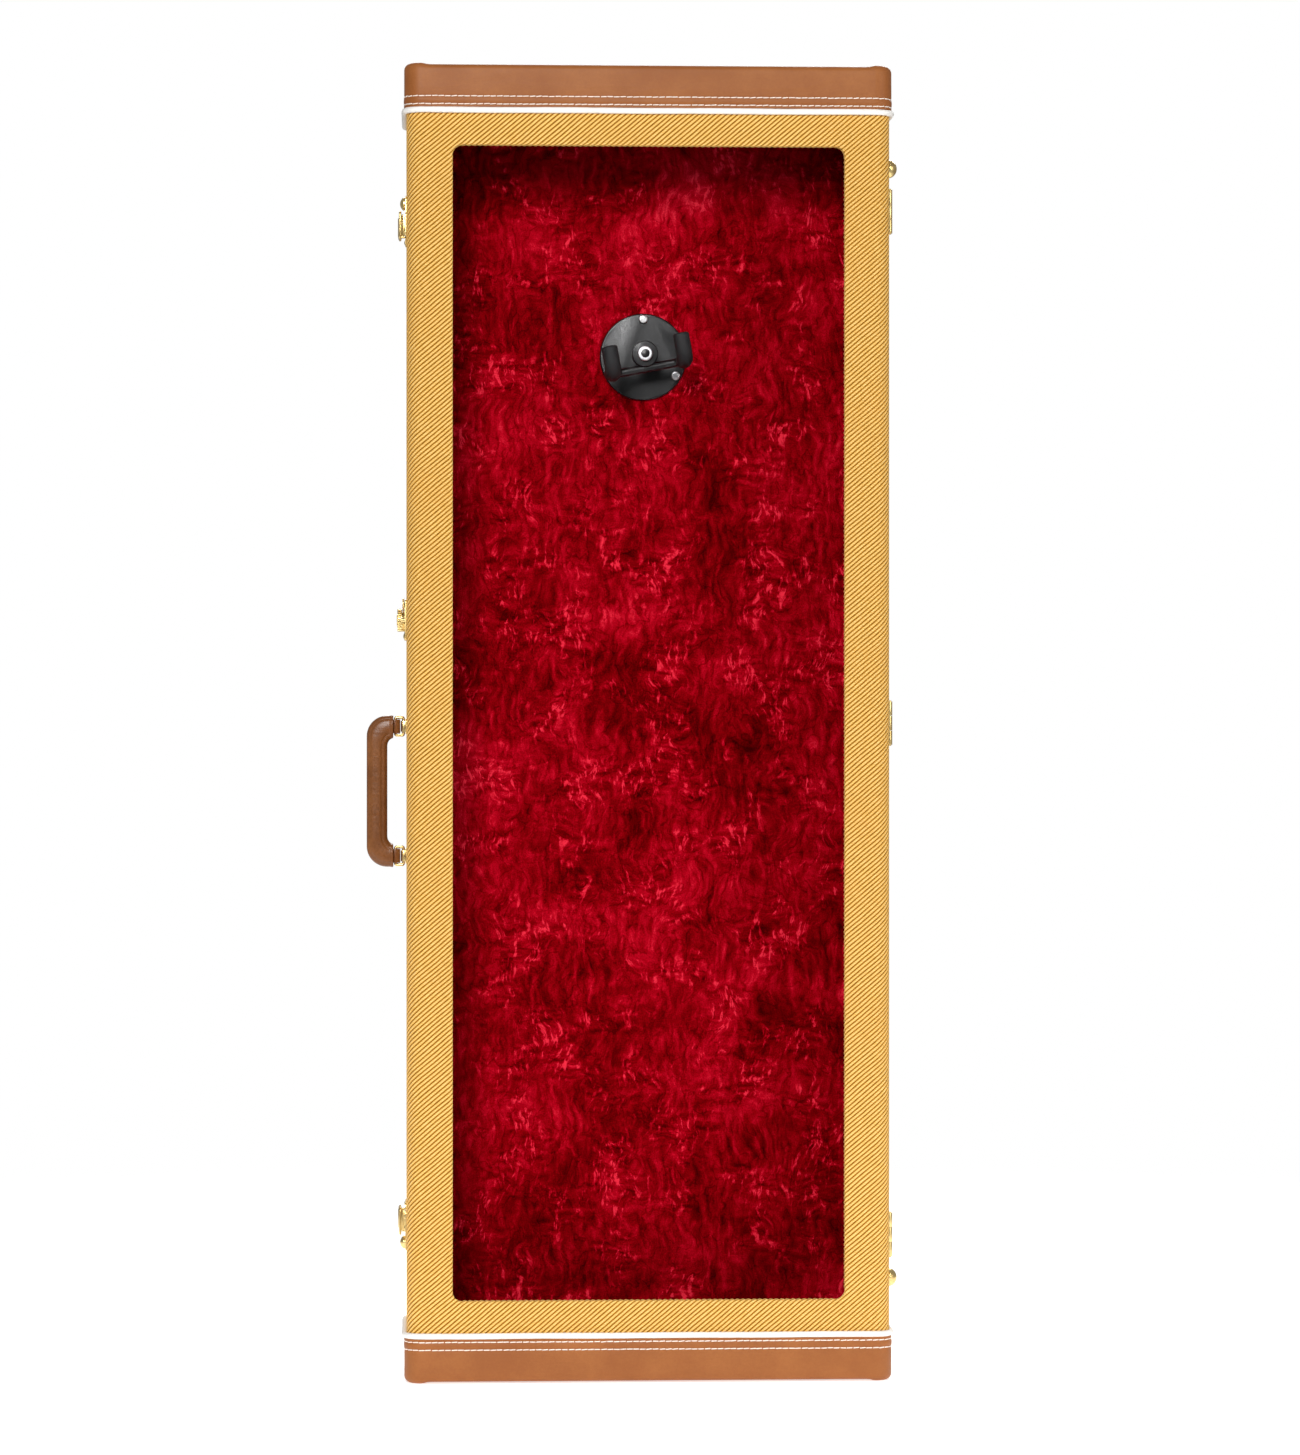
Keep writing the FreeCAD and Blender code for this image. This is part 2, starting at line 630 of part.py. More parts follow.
valance_root_y = BASE_RIM_Y + VALANCE_ROOT
valance = join(
    [
        frame_ring(
            INNER_X - VALANCE_CLEAR,
            INNER_Z0 + VALANCE_CLEAR,
            INNER_Z1 - VALANCE_CLEAR,
            VALANCE_T,
            PART_Y - VALANCE_LIP,
            valance_root_y,
        ),
        frame_ring(INNER_X, INNER_Z0, INNER_Z1, VALANCE_CLEAR, BASE_RIM_Y, valance_root_y),
    ]
)
save("rim_valance", valance)
save(
    "base_liner",
    frame_ring(INNER_X, INNER_Z0, INNER_Z1, LINER, valance_root_y, BACK_PANEL_Y),
)
lid_liner_back = PART_Y - VALANCE_LIP - VALANCE_CLEAR
save(
    "lid_liner",
    frame_ring(INNER_X, INNER_Z0, INNER_Z1, LINER, PANEL_BACK_Y, lid_liner_back),
)


# ---------------------------------------------------------------- hinges
def hinge_leaf(z, way):
    """One leaf; way is 1 for the base and -1 for the lid."""
    y0, y1 = sorted((PART_Y + way * RIM_GAP / 2, PART_Y + way * LEAF_REACH))
    half = HINGE_LEN / 2
    plate = rounded_plate_x(RIGHT, 0, LEAF_T, y0, y1, z - half, z + half, LEAF_CORNER_R)
    split = KNUCKLE_LID / 2
    outer = [(z - half, z - split - KNUCKLE_CLEAR), (z + split + KNUCKLE_CLEAR, z + half)]
    inner = [(z - split, z + split)]
    own, other = (outer, inner) if way > 0 else (inner, outer)
    bore_r = HINGE_PIN_R if way > 0 else HINGE_PIN_R + RUNNING
    relief_r = KNUCKLE_R + KNUCKLE_CLEAR
    reliefs = [
        cyl_z(HINGE_X, PART_Y, relief_r, a - KNUCKLE_CLEAR, b + KNUCKLE_CLEAR)
        for a, b in other
    ]
    leaf = plate.cut(group(reliefs))
    for a, b in own:
        curl = cyl_z(HINGE_X, PART_Y, KNUCKLE_R, a, b)
        lo, hi = sorted((PART_Y, PART_Y + way * KNUCKLE_R))
        web = box(HALF_W + KNUCKLE_CLEAR, HALF_W + LEAF_T, lo, hi, a, b)
        leaf = join([leaf, curl, web])
    return leaf.cut(cyl_z(HINGE_X, PART_Y, bore_r, z - half, z + half))


base_leaves = [drilled(hinge_leaf(z, 1), base_rivets) for z in HINGE_Z]
lid_leaves = [drilled(hinge_leaf(z, -1), lid_rivets) for z in HINGE_Z]
save("hinge_base_leaves", group(base_leaves))
save("hinge_lid_leaves", group(lid_leaves))
hinge_pins = []
for z in HINGE_Z:
    half = HINGE_LEN / 2
    pin = cyl_z(HINGE_X, PART_Y, HINGE_PIN_R, z - half, z + half)
    ends = [
        cyl_z(HINGE_X, PART_Y, HINGE_PIN_R + HINGE_PIN_HEAD_LIP, a, a + HINGE_PIN_HEAD)
        for a in (z - half - HINGE_PIN_HEAD, z + half)
    ]
    hinge_pins.append(join([pin] + ends))
save("hinge_pins", group(hinge_pins))

# ---------------------------------------------------------------- feet
save(
    "lid_feet",
    group(
        [
            dome_on_side(RIGHT, PART_Y - FOOT_FROM_RIM, z, FOOT_R, FOOT_WALL, FOOT_H)
            for z in FOOT_Z
        ]
    ),
)
save(
    "base_feet",
    group([dome_on_side(RIGHT, HANDLE_Y, z, FOOT_R, FOOT_WALL, FOOT_H) for z in FOOT_Z]),
)


# ---------------------------------------------------------------- draw latches
def out_and_back(u, v):
    """(x, y) on the left side: u out of the tweed, v behind the parting plane."""
    return at_side(LEFT, u), PART_Y + v


def latch_plate(out_way, latch_z, lever_z):
    half = LATCH_PLATE_LEN / 2
    y1 = PART_Y + LATCH_PLATE_REACH
    plate = rounded_plate_x(
        LEFT,
        0,
        LATCH_PLATE_T,
        BASE_RIM_Y,
        y1,
        latch_z - half,
        latch_z + half,
        PLATE_CORNER_R,
    )
    x, y = out_and_back(FULCRUM_OUT, FULCRUM_BACK)
    pieces = [plate]
    for way in (-1, 1):
        near = lever_z + way * (LEVER_HALF + EAR_GAP)
        far = near + way * EAR_T
        z0, z1 = sorted((near, far))
        pieces.append(cyl_z(x, y, EAR_R, z0, z1))
        pieces.append(box(x, at_side(LEFT, 0), y - EAR_R, y + EAR_R, z0, z1))
    dome_z = latch_z + out_way * LATCH_DOME_SHIFT
    dome_y = PART_Y + FULCRUM_BACK + LATCH_DOME_R / 2
    dome = dome_on_side(LEFT, dome_y, dome_z, LATCH_DOME_R, LATCH_DOME_WALL, LATCH_DOME_H)
    pieces.append(dome)
    reach = LEVER_HALF + EAR_GAP + EAR_T
    return join(pieces).cut(cyl_z(x, y, FULCRUM_PIN_R, lever_z - reach, lever_z + reach))


def latch_lever(lever_z):
    z0, z1 = lever_z - LEVER_HALF, lever_z + LEVER_HALF
    fulcrum = out_and_back(FULCRUM_OUT, FULCRUM_BACK)
    pivot = out_and_back(BAIL_PIVOT_OUT, BAIL_PIVOT_BACK)
    tail_v = FULCRUM_BACK + LEVER_TAIL
    outline = [
        (FULCRUM_OUT - LEVER_EYE_R, FULCRUM_BACK),
        (BAIL_PIVOT_OUT - BAIL_EYE_R, BAIL_PIVOT_BACK),
        (BAIL_PIVOT_OUT - BAIL_EYE_R + LEVER_WAIST, BAIL_PIVOT_BACK + LEVER_T * 2),
        (BAIL_PIVOT_OUT - LEVER_T / 2 - LEVER_WAIST, tail_v - LEVER_LIP),
        (BAIL_PIVOT_OUT - LEVER_T / 2 + LEVER_CURL, tail_v),
        (BAIL_PIVOT_OUT + LEVER_T / 2 + LEVER_CURL, tail_v),
        (BAIL_PIVOT_OUT + LEVER_T / 2 - LEVER_WAIST, tail_v - LEVER_LIP),
        (BAIL_PIVOT_OUT + LEVER_T / 2 + LEVER_WAIST, BAIL_PIVOT_BACK + LEVER_T * 2),
        (BAIL_PIVOT_OUT + BAIL_EYE_R, BAIL_PIVOT_BACK),
        (FULCRUM_OUT + LEVER_EYE_R, FULCRUM_BACK),
    ]
    body = polygon_z([out_and_back(u, v) for u, v in outline], z0, z1)
    eyes = [cyl_z(*fulcrum, LEVER_EYE_R, z0, z1), cyl_z(*pivot, BAIL_EYE_R, z0, z1)]
    bail_r = BAIL_WIRE_R + BAIL_RUNNING
    deep = BAIL_BITE + 0.2
    bores = [
        cyl_z(*fulcrum, FULCRUM_PIN_R + RUNNING, z0, z1),
        cyl_z(*pivot, bail_r, z0, z0 + deep),
        cyl_z(*pivot, bail_r, z1 - deep, z1),
    ]
    return join([body] + eyes).cut(group(bores))


def latch_bail(lever_z):
    px, py = out_and_back(BAIL_PIVOT_OUT, BAIL_PIVOT_BACK)
    bx, by = out_and_back(BAIL_BAR_OUT, -BAIL_BAR_FRONT)
    tip = LEVER_HALF - BAIL_BITE
    leg = LEVER_HALF + EAR_GAP * 2 + EAR_T + BAIL_WIRE_R
    points = [
        V(px, py, lever_z - tip),
        V(px, py, lever_z - leg),
        V(bx, by, lever_z - leg),
        V(bx, by, lever_z + leg),
        V(px, py, lever_z + leg),
        V(px, py, lever_z + tip),
    ]
    path = bent_path(points, BAIL_BEND_R)
    return tube_along(path, points[0], V(0, 0, -1), BAIL_WIRE_R)


def latch_keeper(lever_z):
    half = KEEPER_HALF + KEEPER_BORDER
    plate = rounded_plate_x(
        LEFT,
        0,
        LATCH_PLATE_T,
        PART_Y - KEEPER_REACH,
        PART_Y - KEEPER_FROM_RIM,
        lever_z - half,
        lever_z + half,
        KEEPER_CORNER_R,
    )
    top = BAIL_BAR_OUT - BAIL_WIRE_R - KEEPER_TOP_CLEAR
    front = -BAIL_BAR_FRONT + BAIL_WIRE_R
    root = LATCH_PLATE_T / 2
    lip = [
        (root, front + KEEPER_SLOPE / 2),
        (top - KEEPER_SLOPE, front + KEEPER_SLOPE / 6),
        (top, front + KEEPER_SLOPE),
        (top, front + KEEPER_SLOPE * 2),
        (top - KEEPER_SLOPE, front + KEEPER_SLOPE * 3),
        (root, front + KEEPER_SLOPE / 2 + KEEPER_RIDGE),
    ]
    ridge = polygon_z(
        [out_and_back(u, v) for u, v in lip], lever_z - KEEPER_HALF, lever_z + KEEPER_HALF
    )
    return join([plate, ridge])


latch_pins = []
keepers = []
for name, (out_way, latch_z) in LATCHES.items():
    lever_z = latch_z - out_way * LATCH_SHIFT
    plate = latch_plate(out_way, latch_z, lever_z)
    save("latch_plate_" + name, drilled(plate, base_rivets))
    save("latch_lever_" + name, latch_lever(lever_z))
    save("latch_bail_" + name, latch_bail(lever_z))
    reach = LEVER_HALF + EAR_GAP + EAR_T
    fulcrum = out_and_back(FULCRUM_OUT, FULCRUM_BACK)
    latch_pins.append(cyl_z(*fulcrum, FULCRUM_PIN_R, lever_z - reach, lever_z + reach))
    keepers.append(drilled(latch_keeper(lever_z), lid_rivets))
save("latch_pins", group(latch_pins))
save("latch_keepers", group(keepers))


# ---------------------------------------------------------------- key lock
def lock_sector(r0, r1, from_deg, to_deg, u0, u1):
    """Ring sector about the plug axis; angles run from forward (-Y) up to +Z."""
    arc = Part.makeCylinder(r1, u1 - u0, V(0, 0, 0), V(0, 0, 1), to_deg - from_deg)
    arc = arc.cut(Part.makeCylinder(r0, u1 - u0)) if r0 > 0 else arc
    arc.rotate(V(0, 0, 0), V(0, 0, 1), from_deg)
    frame = FreeCAD.Matrix(0, 0, -1, 0, -1, 0, 0, 0, 0, 1, 0, 0, 0, 0, 0, 1)
    arc = arc.transformGeometry(frame)
    arc.translate(V(at_side(LEFT, u0), LOCK_Y, LOCK_Z))
    return arc


half = LOCK_PLATE_LEN / 2
lock_plate = rounded_plate_x(
    LEFT,
    0,
    LOCK_PLATE_T,
    BASE_RIM_Y,
    PART_Y + LOCK_PLATE_REACH,
    LOCK_Z - half,
    LOCK_Z + half,
    PLATE_CORNER_R,
)
save("lock_plate", drilled(lock_plate, base_rivets))

boss_top = LOCK_PLATE_T + BOSS_H
boss = round_on_side(LEFT, LOCK_Y, LOCK_Z, BOSS_R, LOCK_PLATE_T, boss_top)
top_rim = [
    e for e in boss.Edges if max(v.X for v in e.Vertexes) < at_side(LEFT, boss_top) + 0.01
]
boss = boss.makeFillet(BOSS_TOP_R, top_rim)
hollow_r = BOSS_R - BOSS_WALL
boss = boss.cut(
    round_on_side(LEFT, LOCK_Y, LOCK_Z, hollow_r, LOCK_PLATE_T, boss_top - BOSS_CAP)
)
boss = boss.cut(
    round_on_side(LEFT, LOCK_Y, LOCK_Z, PLUG_R + PLUG_RUNNING, LOCK_PLATE_T, boss_top)
)
hook_u0 = LOCK_PLATE_T + HOOK_LIFT
hook_u1 = hook_u0 + HOOK_T
slot = lock_sector(
    0,
    BOSS_R + 2,
    HOOK_REST - 90 - ARM_HALF_DEG,
    HOOK_REST + ARM_HALF_DEG,
    LOCK_PLATE_T,
    hook_u1 + HOOK_LIFT,
)
boss = boss.cut(slot)
flutes = []
for i in range(BOSS_FLUTES):
    angle = 2 * math.pi * i / BOSS_FLUTES
    y = LOCK_Y + BOSS_R * math.cos(angle)
    z = LOCK_Z + BOSS_R * math.sin(angle)
    flutes.append(
        round_on_side(LEFT, y, z, BOSS_FLUTE_R, hook_u1 + HOOK_LIFT + 0.6, boss_top)
    )
save("lock_boss", boss.cut(group(flutes)))

plug_top = boss_top + PLUG_PROUD
plug = round_on_side(LEFT, LOCK_Y, LOCK_Z, PLUG_R, LOCK_PLATE_T + 0.3, plug_top)
keyway = box(
    at_side(LEFT, plug_top),
    at_side(LEFT, plug_top - KEYWAY_DEEP),
    LOCK_Y - KEYWAY_W / 2,
    LOCK_Y + KEYWAY_W / 2,
    LOCK_Z - KEYWAY_L / 2,
    LOCK_Z + KEYWAY_L / 2,
)
save("lock_plug", plug.cut(keyway))

stud_reach = LOCK_BACK + STUD_FRONT
band_in = stud_reach + STUD_R + HOOK_CLEAR
band_out = band_in + HOOK_BAND
arm_deg = math.degrees(HOOK_ARM_W / band_in)
hook = join(
    [
        round_on_side(LEFT, LOCK_Y, LOCK_Z, HOOK_HUB_R, hook_u0, hook_u1),
        lock_sector(
            0, band_out, HOOK_REST - arm_deg / 2, HOOK_REST + arm_deg / 2, hook_u0, hook_u1
        ),
        lock_sector(
            band_in, band_out, HOOK_REST - HOOK_ARC, HOOK_REST, hook_u0, hook_u1
        ),
    ]
).cut(round_on_side(LEFT, LOCK_Y, LOCK_Z, PLUG_R, hook_u0, hook_u1))
save("lock_hook", hook)

strike = join(
    [
        rounded_plate_x(
            LEFT,
            0,
            STRIKE_T,
            PART_Y - STRIKE_REACH,
            LID_RIM_Y,
            LOCK_Z - half,
            LOCK_Z + half,
            STRIKE_CORNER_R,
        ),
        round_on_side(LEFT, PART_Y - STUD_FRONT, LOCK_Z, STUD_R, 0, STUD_H),
    ]
)
save("lock_strike", drilled(strike, lid_rivets))

# ---------------------------------------------------------------- handle
ring_x = at_side(LEFT, RING_PIVOT_OUT)
bar_x = at_side(LEFT, RING_TOP_OUT)
brackets = []
rings = []
tabs = []
for way in (-1, 1):
    z = HANDLE_Z + way * RING_SPREAD
    half = BRACKET_LEN / 2
    y0, y1 = HANDLE_Y - BRACKET_W / 2, HANDLE_Y + BRACKET_W / 2
    foot = rounded_plate_x(LEFT, 0, BRACKET_T, y0, y1, z - half, z + half, BRACKET_CORNER_R)
    strap_bore = RING_WIRE_R + STRAP_RUNNING
    strap_r = strap_bore + STRAP_WALL
    strap = cyl_z(ring_x, HANDLE_Y, strap_r, z - STRAP_HALF, z + STRAP_HALF)
    root = box(
        ring_x,
        at_side(LEFT, 0),
        HANDLE_Y - strap_r,
        HANDLE_Y + strap_r,
        z - STRAP_HALF,
        z + STRAP_HALF,
    )
    bracket = join([foot, strap, root])
    bracket = bracket.cut(cyl_z(ring_x, HANDLE_Y, strap_bore, z - half, z + half))
    brackets.append(drilled(bracket, base_rivets))

    reach = RING_LEN / 2 - RING_WIRE_R
    corners = [
        V(ring_x, HANDLE_Y, z - reach),
        V(bar_x, HANDLE_Y, z - reach),
        V(bar_x, HANDLE_Y, z + reach),
        V(ring_x, HANDLE_Y, z + reach),
    ]
    path = bent_path(corners, RING_BEND_R, True)
    edge = path.Edges[0]
    start = edge.Vertexes[0].Point
    ring = tube_along(path, start, edge.tangentAt(edge.FirstParameter), RING_WIRE_R)
    rings.append(ring)

    foot_x = at_side(LEFT, GRIP_FOOT)
    tab_half = reach - RING_BEND_R - TAB_CLEAR
    loop = cyl_z(bar_x, HANDLE_Y, TAB_R, z - tab_half, z + tab_half)
    neck = box(
        foot_x, bar_x, HANDLE_Y - TAB_R, HANDLE_Y + TAB_R, z - tab_half, z + tab_half
    )
    below_leg = box(foot_x, FAR, -FAR, FAR, -FAR, FAR)
    hole = cyl_z(bar_x, HANDLE_Y, RING_WIRE_R, z - tab_half, z + tab_half)
    tabs.append(join([loop, neck]).common(below_leg).cut(hole))
save("handle_brackets", group(brackets))
save("handle_rings", group(rings))
save("handle_tabs", group(tabs))


def upright_block(u0, u1, half_z, r):
    """Block along the handle from u0 to u1 out of the tweed, round in the XZ plane."""
    x0, x1 = at_side(LEFT, u1), at_side(LEFT, u0)
    y0 = HANDLE_Y - GRIP_W / 2
    corners = [
        V(x0, y0, HANDLE_Z - half_z),
        V(x1, y0, HANDLE_Z - half_z),
        V(x1, y0, HANDLE_Z + half_z),
        V(x0, y0, HANDLE_Z + half_z),
    ]
    return Part.Face(bent_path(corners, r, True)).extrude(V(0, GRIP_W, 0))


outer = upright_block(
    GRIP_FOOT - 2 * GRIP_CORNER_R, HANDLE_OUT, HANDLE_LEN / 2, GRIP_CORNER_R
)
inner = upright_block(
    GRIP_FOOT - 4 * GRIP_CORNER_R,
    HANDLE_OUT - GRIP_T,
    HANDLE_LEN / 2 - GRIP_LEG,
    GRIP_INNER_R,
)
keep = box(-FAR, at_side(LEFT, GRIP_FOOT), -FAR, FAR, -FAR, FAR)
grip = outer.cut(inner).common(keep)
soft_edges = []
for edge in grip.Edges:
    ys = [vertex.Y for vertex in edge.Vertexes]
    xs = [vertex.X for vertex in edge.Vertexes]
    on_face = max(ys) - min(ys) < 0.01
    on_foot = min(xs) > at_side(LEFT, GRIP_FOOT) - 0.01
    if on_face and not on_foot:
        soft_edges.append(edge)
save("handle_grip", grip.makeFillet(min(GRIP_EDGE_R, GRIP_INNER_R - 1), soft_edges))

# ---------------------------------------------------------------- neck hanger
plate_front = PAD_Y - HANGER_PLATE_T
plate = cyl_y(0, HANGER_Z, HANGER_PLATE_R, plate_front, PAD_Y)
front_rim = [e for e in plate.Edges if max(v.Y for v in e.Vertexes) < plate_front + 0.01]
save("hanger_plate", drilled(plate.makeFillet(HANGER_PLATE_EDGE_R, front_rim), hanger_holes))

hub_back = plate_front - STEM_LEN
hub_front = hub_back - HUB_LEN
nut_back = hub_front - HUB_END_CLEAR
stem = join(
    [
        cyl_y(0, HANGER_Z, STEM_R, hub_back + HUB_END_CLEAR, plate_front),
        cyl_y(0, HANGER_Z, PIVOT_R, nut_back - NUT_T, plate_front),
    ]
)
save("hanger_stem", stem)
nut = cyl_y(0, HANGER_Z, NUT_R, nut_back - NUT_T, nut_back)
nut_rim = [e for e in nut.Edges if max(v.Y for v in e.Vertexes) < nut_back - 1]
nut = nut.makeFillet(NUT_EDGE_R, nut_rim)
save("hanger_nut", nut.cut(cyl_y(0, HANGER_Z, PIVOT_R, nut_back - NUT_T, nut_back)))

bar_y = (hub_front + hub_back) / 2
tip_y = bar_y - YOKE_REACH


def yoke_point(x, y, up):
    return V(x, y, HANGER_Z + up)


def tilted(shape):
    shape.rotate(V(0, 0, HANGER_Z), V(0, 1, 0), -YOKE_TILT)
    return shape


rod_points = [
    yoke_point(-YOKE_HALF, tip_y, YOKE_UP),
    yoke_point(-YOKE_HALF, tip_y, -YOKE_DROP),
    yoke_point(-YOKE_HALF, bar_y, -YOKE_DROP),
    yoke_point(YOKE_HALF, bar_y, -YOKE_DROP),
    yoke_point(YOKE_HALF, tip_y, -YOKE_DROP),
    yoke_point(YOKE_HALF, tip_y, YOKE_UP),
]
rod = tube_along(bent_path(rod_points, YOKE_BEND_R), rod_points[0], V(0, 0, -1), YOKE_ROD_R)
hub = cyl_y(0, HANGER_Z, HUB_R, hub_front, hub_back)
rims = [e for e in hub.Edges if abs(e.Vertexes[0].Y - e.Vertexes[-1].Y) < 0.01]
pivot_bore = cyl_y(0, HANGER_Z, PIVOT_R + RUNNING, hub_front, hub_back)
save("yoke_frame", tilted(join([hub.makeFillet(HUB_EDGE_R, rims), rod]).cut(pivot_bore)))

sleeves = []
for way in (-1, 1):
    points = [
        yoke_point(way * YOKE_HALF, bar_y - SLEEVE_START, -YOKE_DROP),
        yoke_point(way * YOKE_HALF, tip_y, -YOKE_DROP),
        yoke_point(way * YOKE_HALF, tip_y, YOKE_UP + SLEEVE_CAP),
    ]
    path = bent_path(points, YOKE_BEND_R)
    sleeve = tube_along(path, points[0], V(0, -1, 0), SLEEVE_R)
    end_rims = [
        e
        for e in sleeve.Edges
        if min(v.Z for v in e.Vertexes) > HANGER_Z + YOKE_UP + SLEEVE_CAP - 0.01
    ]
    rod_room = tube_along(
        bent_path(points[:2] + [rod_points[0 if way < 0 else 5]], YOKE_BEND_R),
        points[0],
        V(0, -1, 0),
        YOKE_ROD_R,
    )
    sleeves.append(tilted(sleeve.makeFillet(SLEEVE_TIP_R, end_rims).cut(rod_room)))
save("yoke_sleeves", group(sleeves))

# ---------------------------------------------------------------- rivets
save("base_rivets", group(base_rivets))
save("lid_rivets", group(lid_rivets))
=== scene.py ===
# %% [markdown]
# # A display case for a guitar, with a window in its lid
# The case is a wooden box covered in lacquered tweed, with brown leathercloth over both ends, white piping,
# brass hardware and a lining of crushed red plush. It could be modelled from nothing, but the sizes, joints
# and hard parts already exist as a CAD model, so the script loads that as a fixed frame and dresses it.

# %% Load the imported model
import json
import math

import bpy
import numpy as np
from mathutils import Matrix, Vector


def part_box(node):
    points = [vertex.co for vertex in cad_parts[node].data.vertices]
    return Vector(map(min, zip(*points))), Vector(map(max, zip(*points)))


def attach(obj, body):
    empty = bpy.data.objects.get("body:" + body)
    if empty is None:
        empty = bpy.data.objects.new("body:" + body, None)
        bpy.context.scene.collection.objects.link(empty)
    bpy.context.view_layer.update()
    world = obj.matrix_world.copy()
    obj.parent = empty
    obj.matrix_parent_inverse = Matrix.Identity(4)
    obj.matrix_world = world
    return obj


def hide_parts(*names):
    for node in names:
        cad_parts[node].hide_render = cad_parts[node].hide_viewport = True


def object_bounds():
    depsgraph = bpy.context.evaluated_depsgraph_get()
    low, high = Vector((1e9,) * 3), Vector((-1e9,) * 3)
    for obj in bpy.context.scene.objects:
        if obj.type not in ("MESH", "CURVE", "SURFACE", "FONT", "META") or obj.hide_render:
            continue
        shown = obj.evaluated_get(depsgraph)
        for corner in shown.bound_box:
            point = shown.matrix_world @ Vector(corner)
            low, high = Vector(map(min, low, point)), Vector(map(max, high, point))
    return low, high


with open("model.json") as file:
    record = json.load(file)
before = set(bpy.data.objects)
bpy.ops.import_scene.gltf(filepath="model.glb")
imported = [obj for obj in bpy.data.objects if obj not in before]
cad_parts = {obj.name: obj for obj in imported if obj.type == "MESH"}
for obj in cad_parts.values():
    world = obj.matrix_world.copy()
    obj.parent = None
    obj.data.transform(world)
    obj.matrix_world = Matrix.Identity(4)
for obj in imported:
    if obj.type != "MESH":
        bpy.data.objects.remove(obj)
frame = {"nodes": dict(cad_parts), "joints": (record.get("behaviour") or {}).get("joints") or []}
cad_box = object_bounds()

MM = 0.001
nodes = frame["nodes"]

# %% [markdown]
# ## The camera
# A camera can be placed by eye or worked out. Here it is worked out: it stands 4.3 m in front of the lid, at
# the middle of the case's height and a few degrees to the left, with a long lens, so the sides stay parallel.

# %% Place the camera
CAMERA_DISTANCE = 4.3
CAMERA_TURN = math.radians(2.75)
cloth_lo, cloth_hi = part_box("lid_tweed")
front_middle = Vector((0, cloth_lo.y, (cad_box[0].z + cad_box[1].z) / 2))
camera = bpy.data.objects.new("camera", bpy.data.cameras.new("camera"))
bpy.context.scene.collection.objects.link(camera)
camera.data.sensor_width = 36
camera.data.lens = 116.95
away = Vector((-math.sin(CAMERA_TURN), -math.cos(CAMERA_TURN), 0))
camera.location = front_middle + away * CAMERA_DISTANCE
look = front_middle + Vector((0.8, 0, -4.0)) * MM - camera.location
camera.rotation_mode = "QUATERNION"
camera.rotation_quaternion = look.to_track_quat("-Z", "Y")
bpy.context.scene.camera = camera
print("camera at", [round(v, 3) for v in camera.location])

# %% [markdown]
# ## Small helpers for modelling
# Blender's operators act on what is selected, as a person's tools do. These helpers deselect everything,
# pick vertices, edges or faces by where they are, and read or write all of a mesh's points at once.


# %% Selecting and reading
def only(piece):
    """Select this piece alone and make it active."""
    bpy.ops.object.select_all(action="DESELECT")
    piece.select_set(True)
    bpy.context.view_layer.objects.active = piece
    return piece


def read(items, field, width=1, kind=float):
    values = np.zeros(len(items) * width, kind)
    items.foreach_get(field, values)
    return values.reshape(-1, width) if width > 1 else values


def points_of(piece):
    return read(piece.data.vertices, "co", 3)


def move_points(piece, points):
    piece.data.vertices.foreach_set("co", np.asarray(points, np.float32).ravel())
    piece.data.update()


def pick(piece, kind, where):
    """Go into edit mode with only those vertices, edges or faces selected that pass the test."""
    only(piece)
    bpy.ops.object.mode_set(mode="EDIT")
    bpy.ops.mesh.select_mode(type=kind)
    bpy.ops.mesh.select_all(action="DESELECT")
    bpy.ops.object.mode_set(mode="OBJECT")
    mesh, points = piece.data, points_of(piece)
    if kind == "VERT":
        items, middle, way = mesh.vertices, points, points
    elif kind == "EDGE":
        items = mesh.edges
        ends = read(items, "vertices", 2, int)
        middle = (points[ends[:, 0]] + points[ends[:, 1]]) / 2
        way = points[ends[:, 1]] - points[ends[:, 0]]
    else:
        items = mesh.polygons
        middle, way = read(items, "center", 3), read(items, "normal", 3)
    chosen = where(middle, way)
    items.foreach_set("select", np.asarray(chosen, bool))
    bpy.ops.object.mode_set(mode="EDIT")
    return int(np.sum(chosen))


def leave_edit():
    bpy.ops.object.mode_set(mode="OBJECT")
    return bpy.context.view_layer.objects.active


def apply_modifier(piece, kind, **settings):
    only(piece)
    modifier = piece.modifiers.new(kind.title(), kind)
    for name, value in settings.items():
        setattr(modifier, name, value)
    bpy.ops.object.modifier_apply(modifier=modifier.name)


# %% [markdown]
# ## Cutting
# A bisect cuts a mesh with a plane, like a knife along a ruler. It gives clean straight edges exactly where
# they are wanted, which is why it is used for hems, rims and for the places where a piece has to bend.


# %% Cut along planes
def slice_at(piece, axis, places):
    """Add an edge loop where each plane crosses the piece."""
    only(piece)
    bpy.ops.object.mode_set(mode="EDIT")
    way = [float(i == axis) for i in range(3)]
    for place in places:
        bpy.ops.mesh.select_all(action="SELECT")
        bpy.ops.mesh.bisect(plane_co=[w * place for w in way], plane_no=way)
    leave_edit()


def trim(piece, point, way, fill=False):
    """Cut off what lies beyond the plane, in the direction of way."""
    only(piece)
    bpy.ops.object.mode_set(mode="EDIT")
    bpy.ops.mesh.select_all(action="SELECT")
    bpy.ops.mesh.bisect(plane_co=point, plane_no=way, clear_outer=True, use_fill=fill)
    leave_edit()


# %% [markdown]
# ## Shader maths as plain Python
# A material is a graph of small nodes. Wiring hundreds by hand hides the idea, so a socket is wrapped in a
# class whose plus, minus and times add the Math nodes: the pattern then reads like a formula.


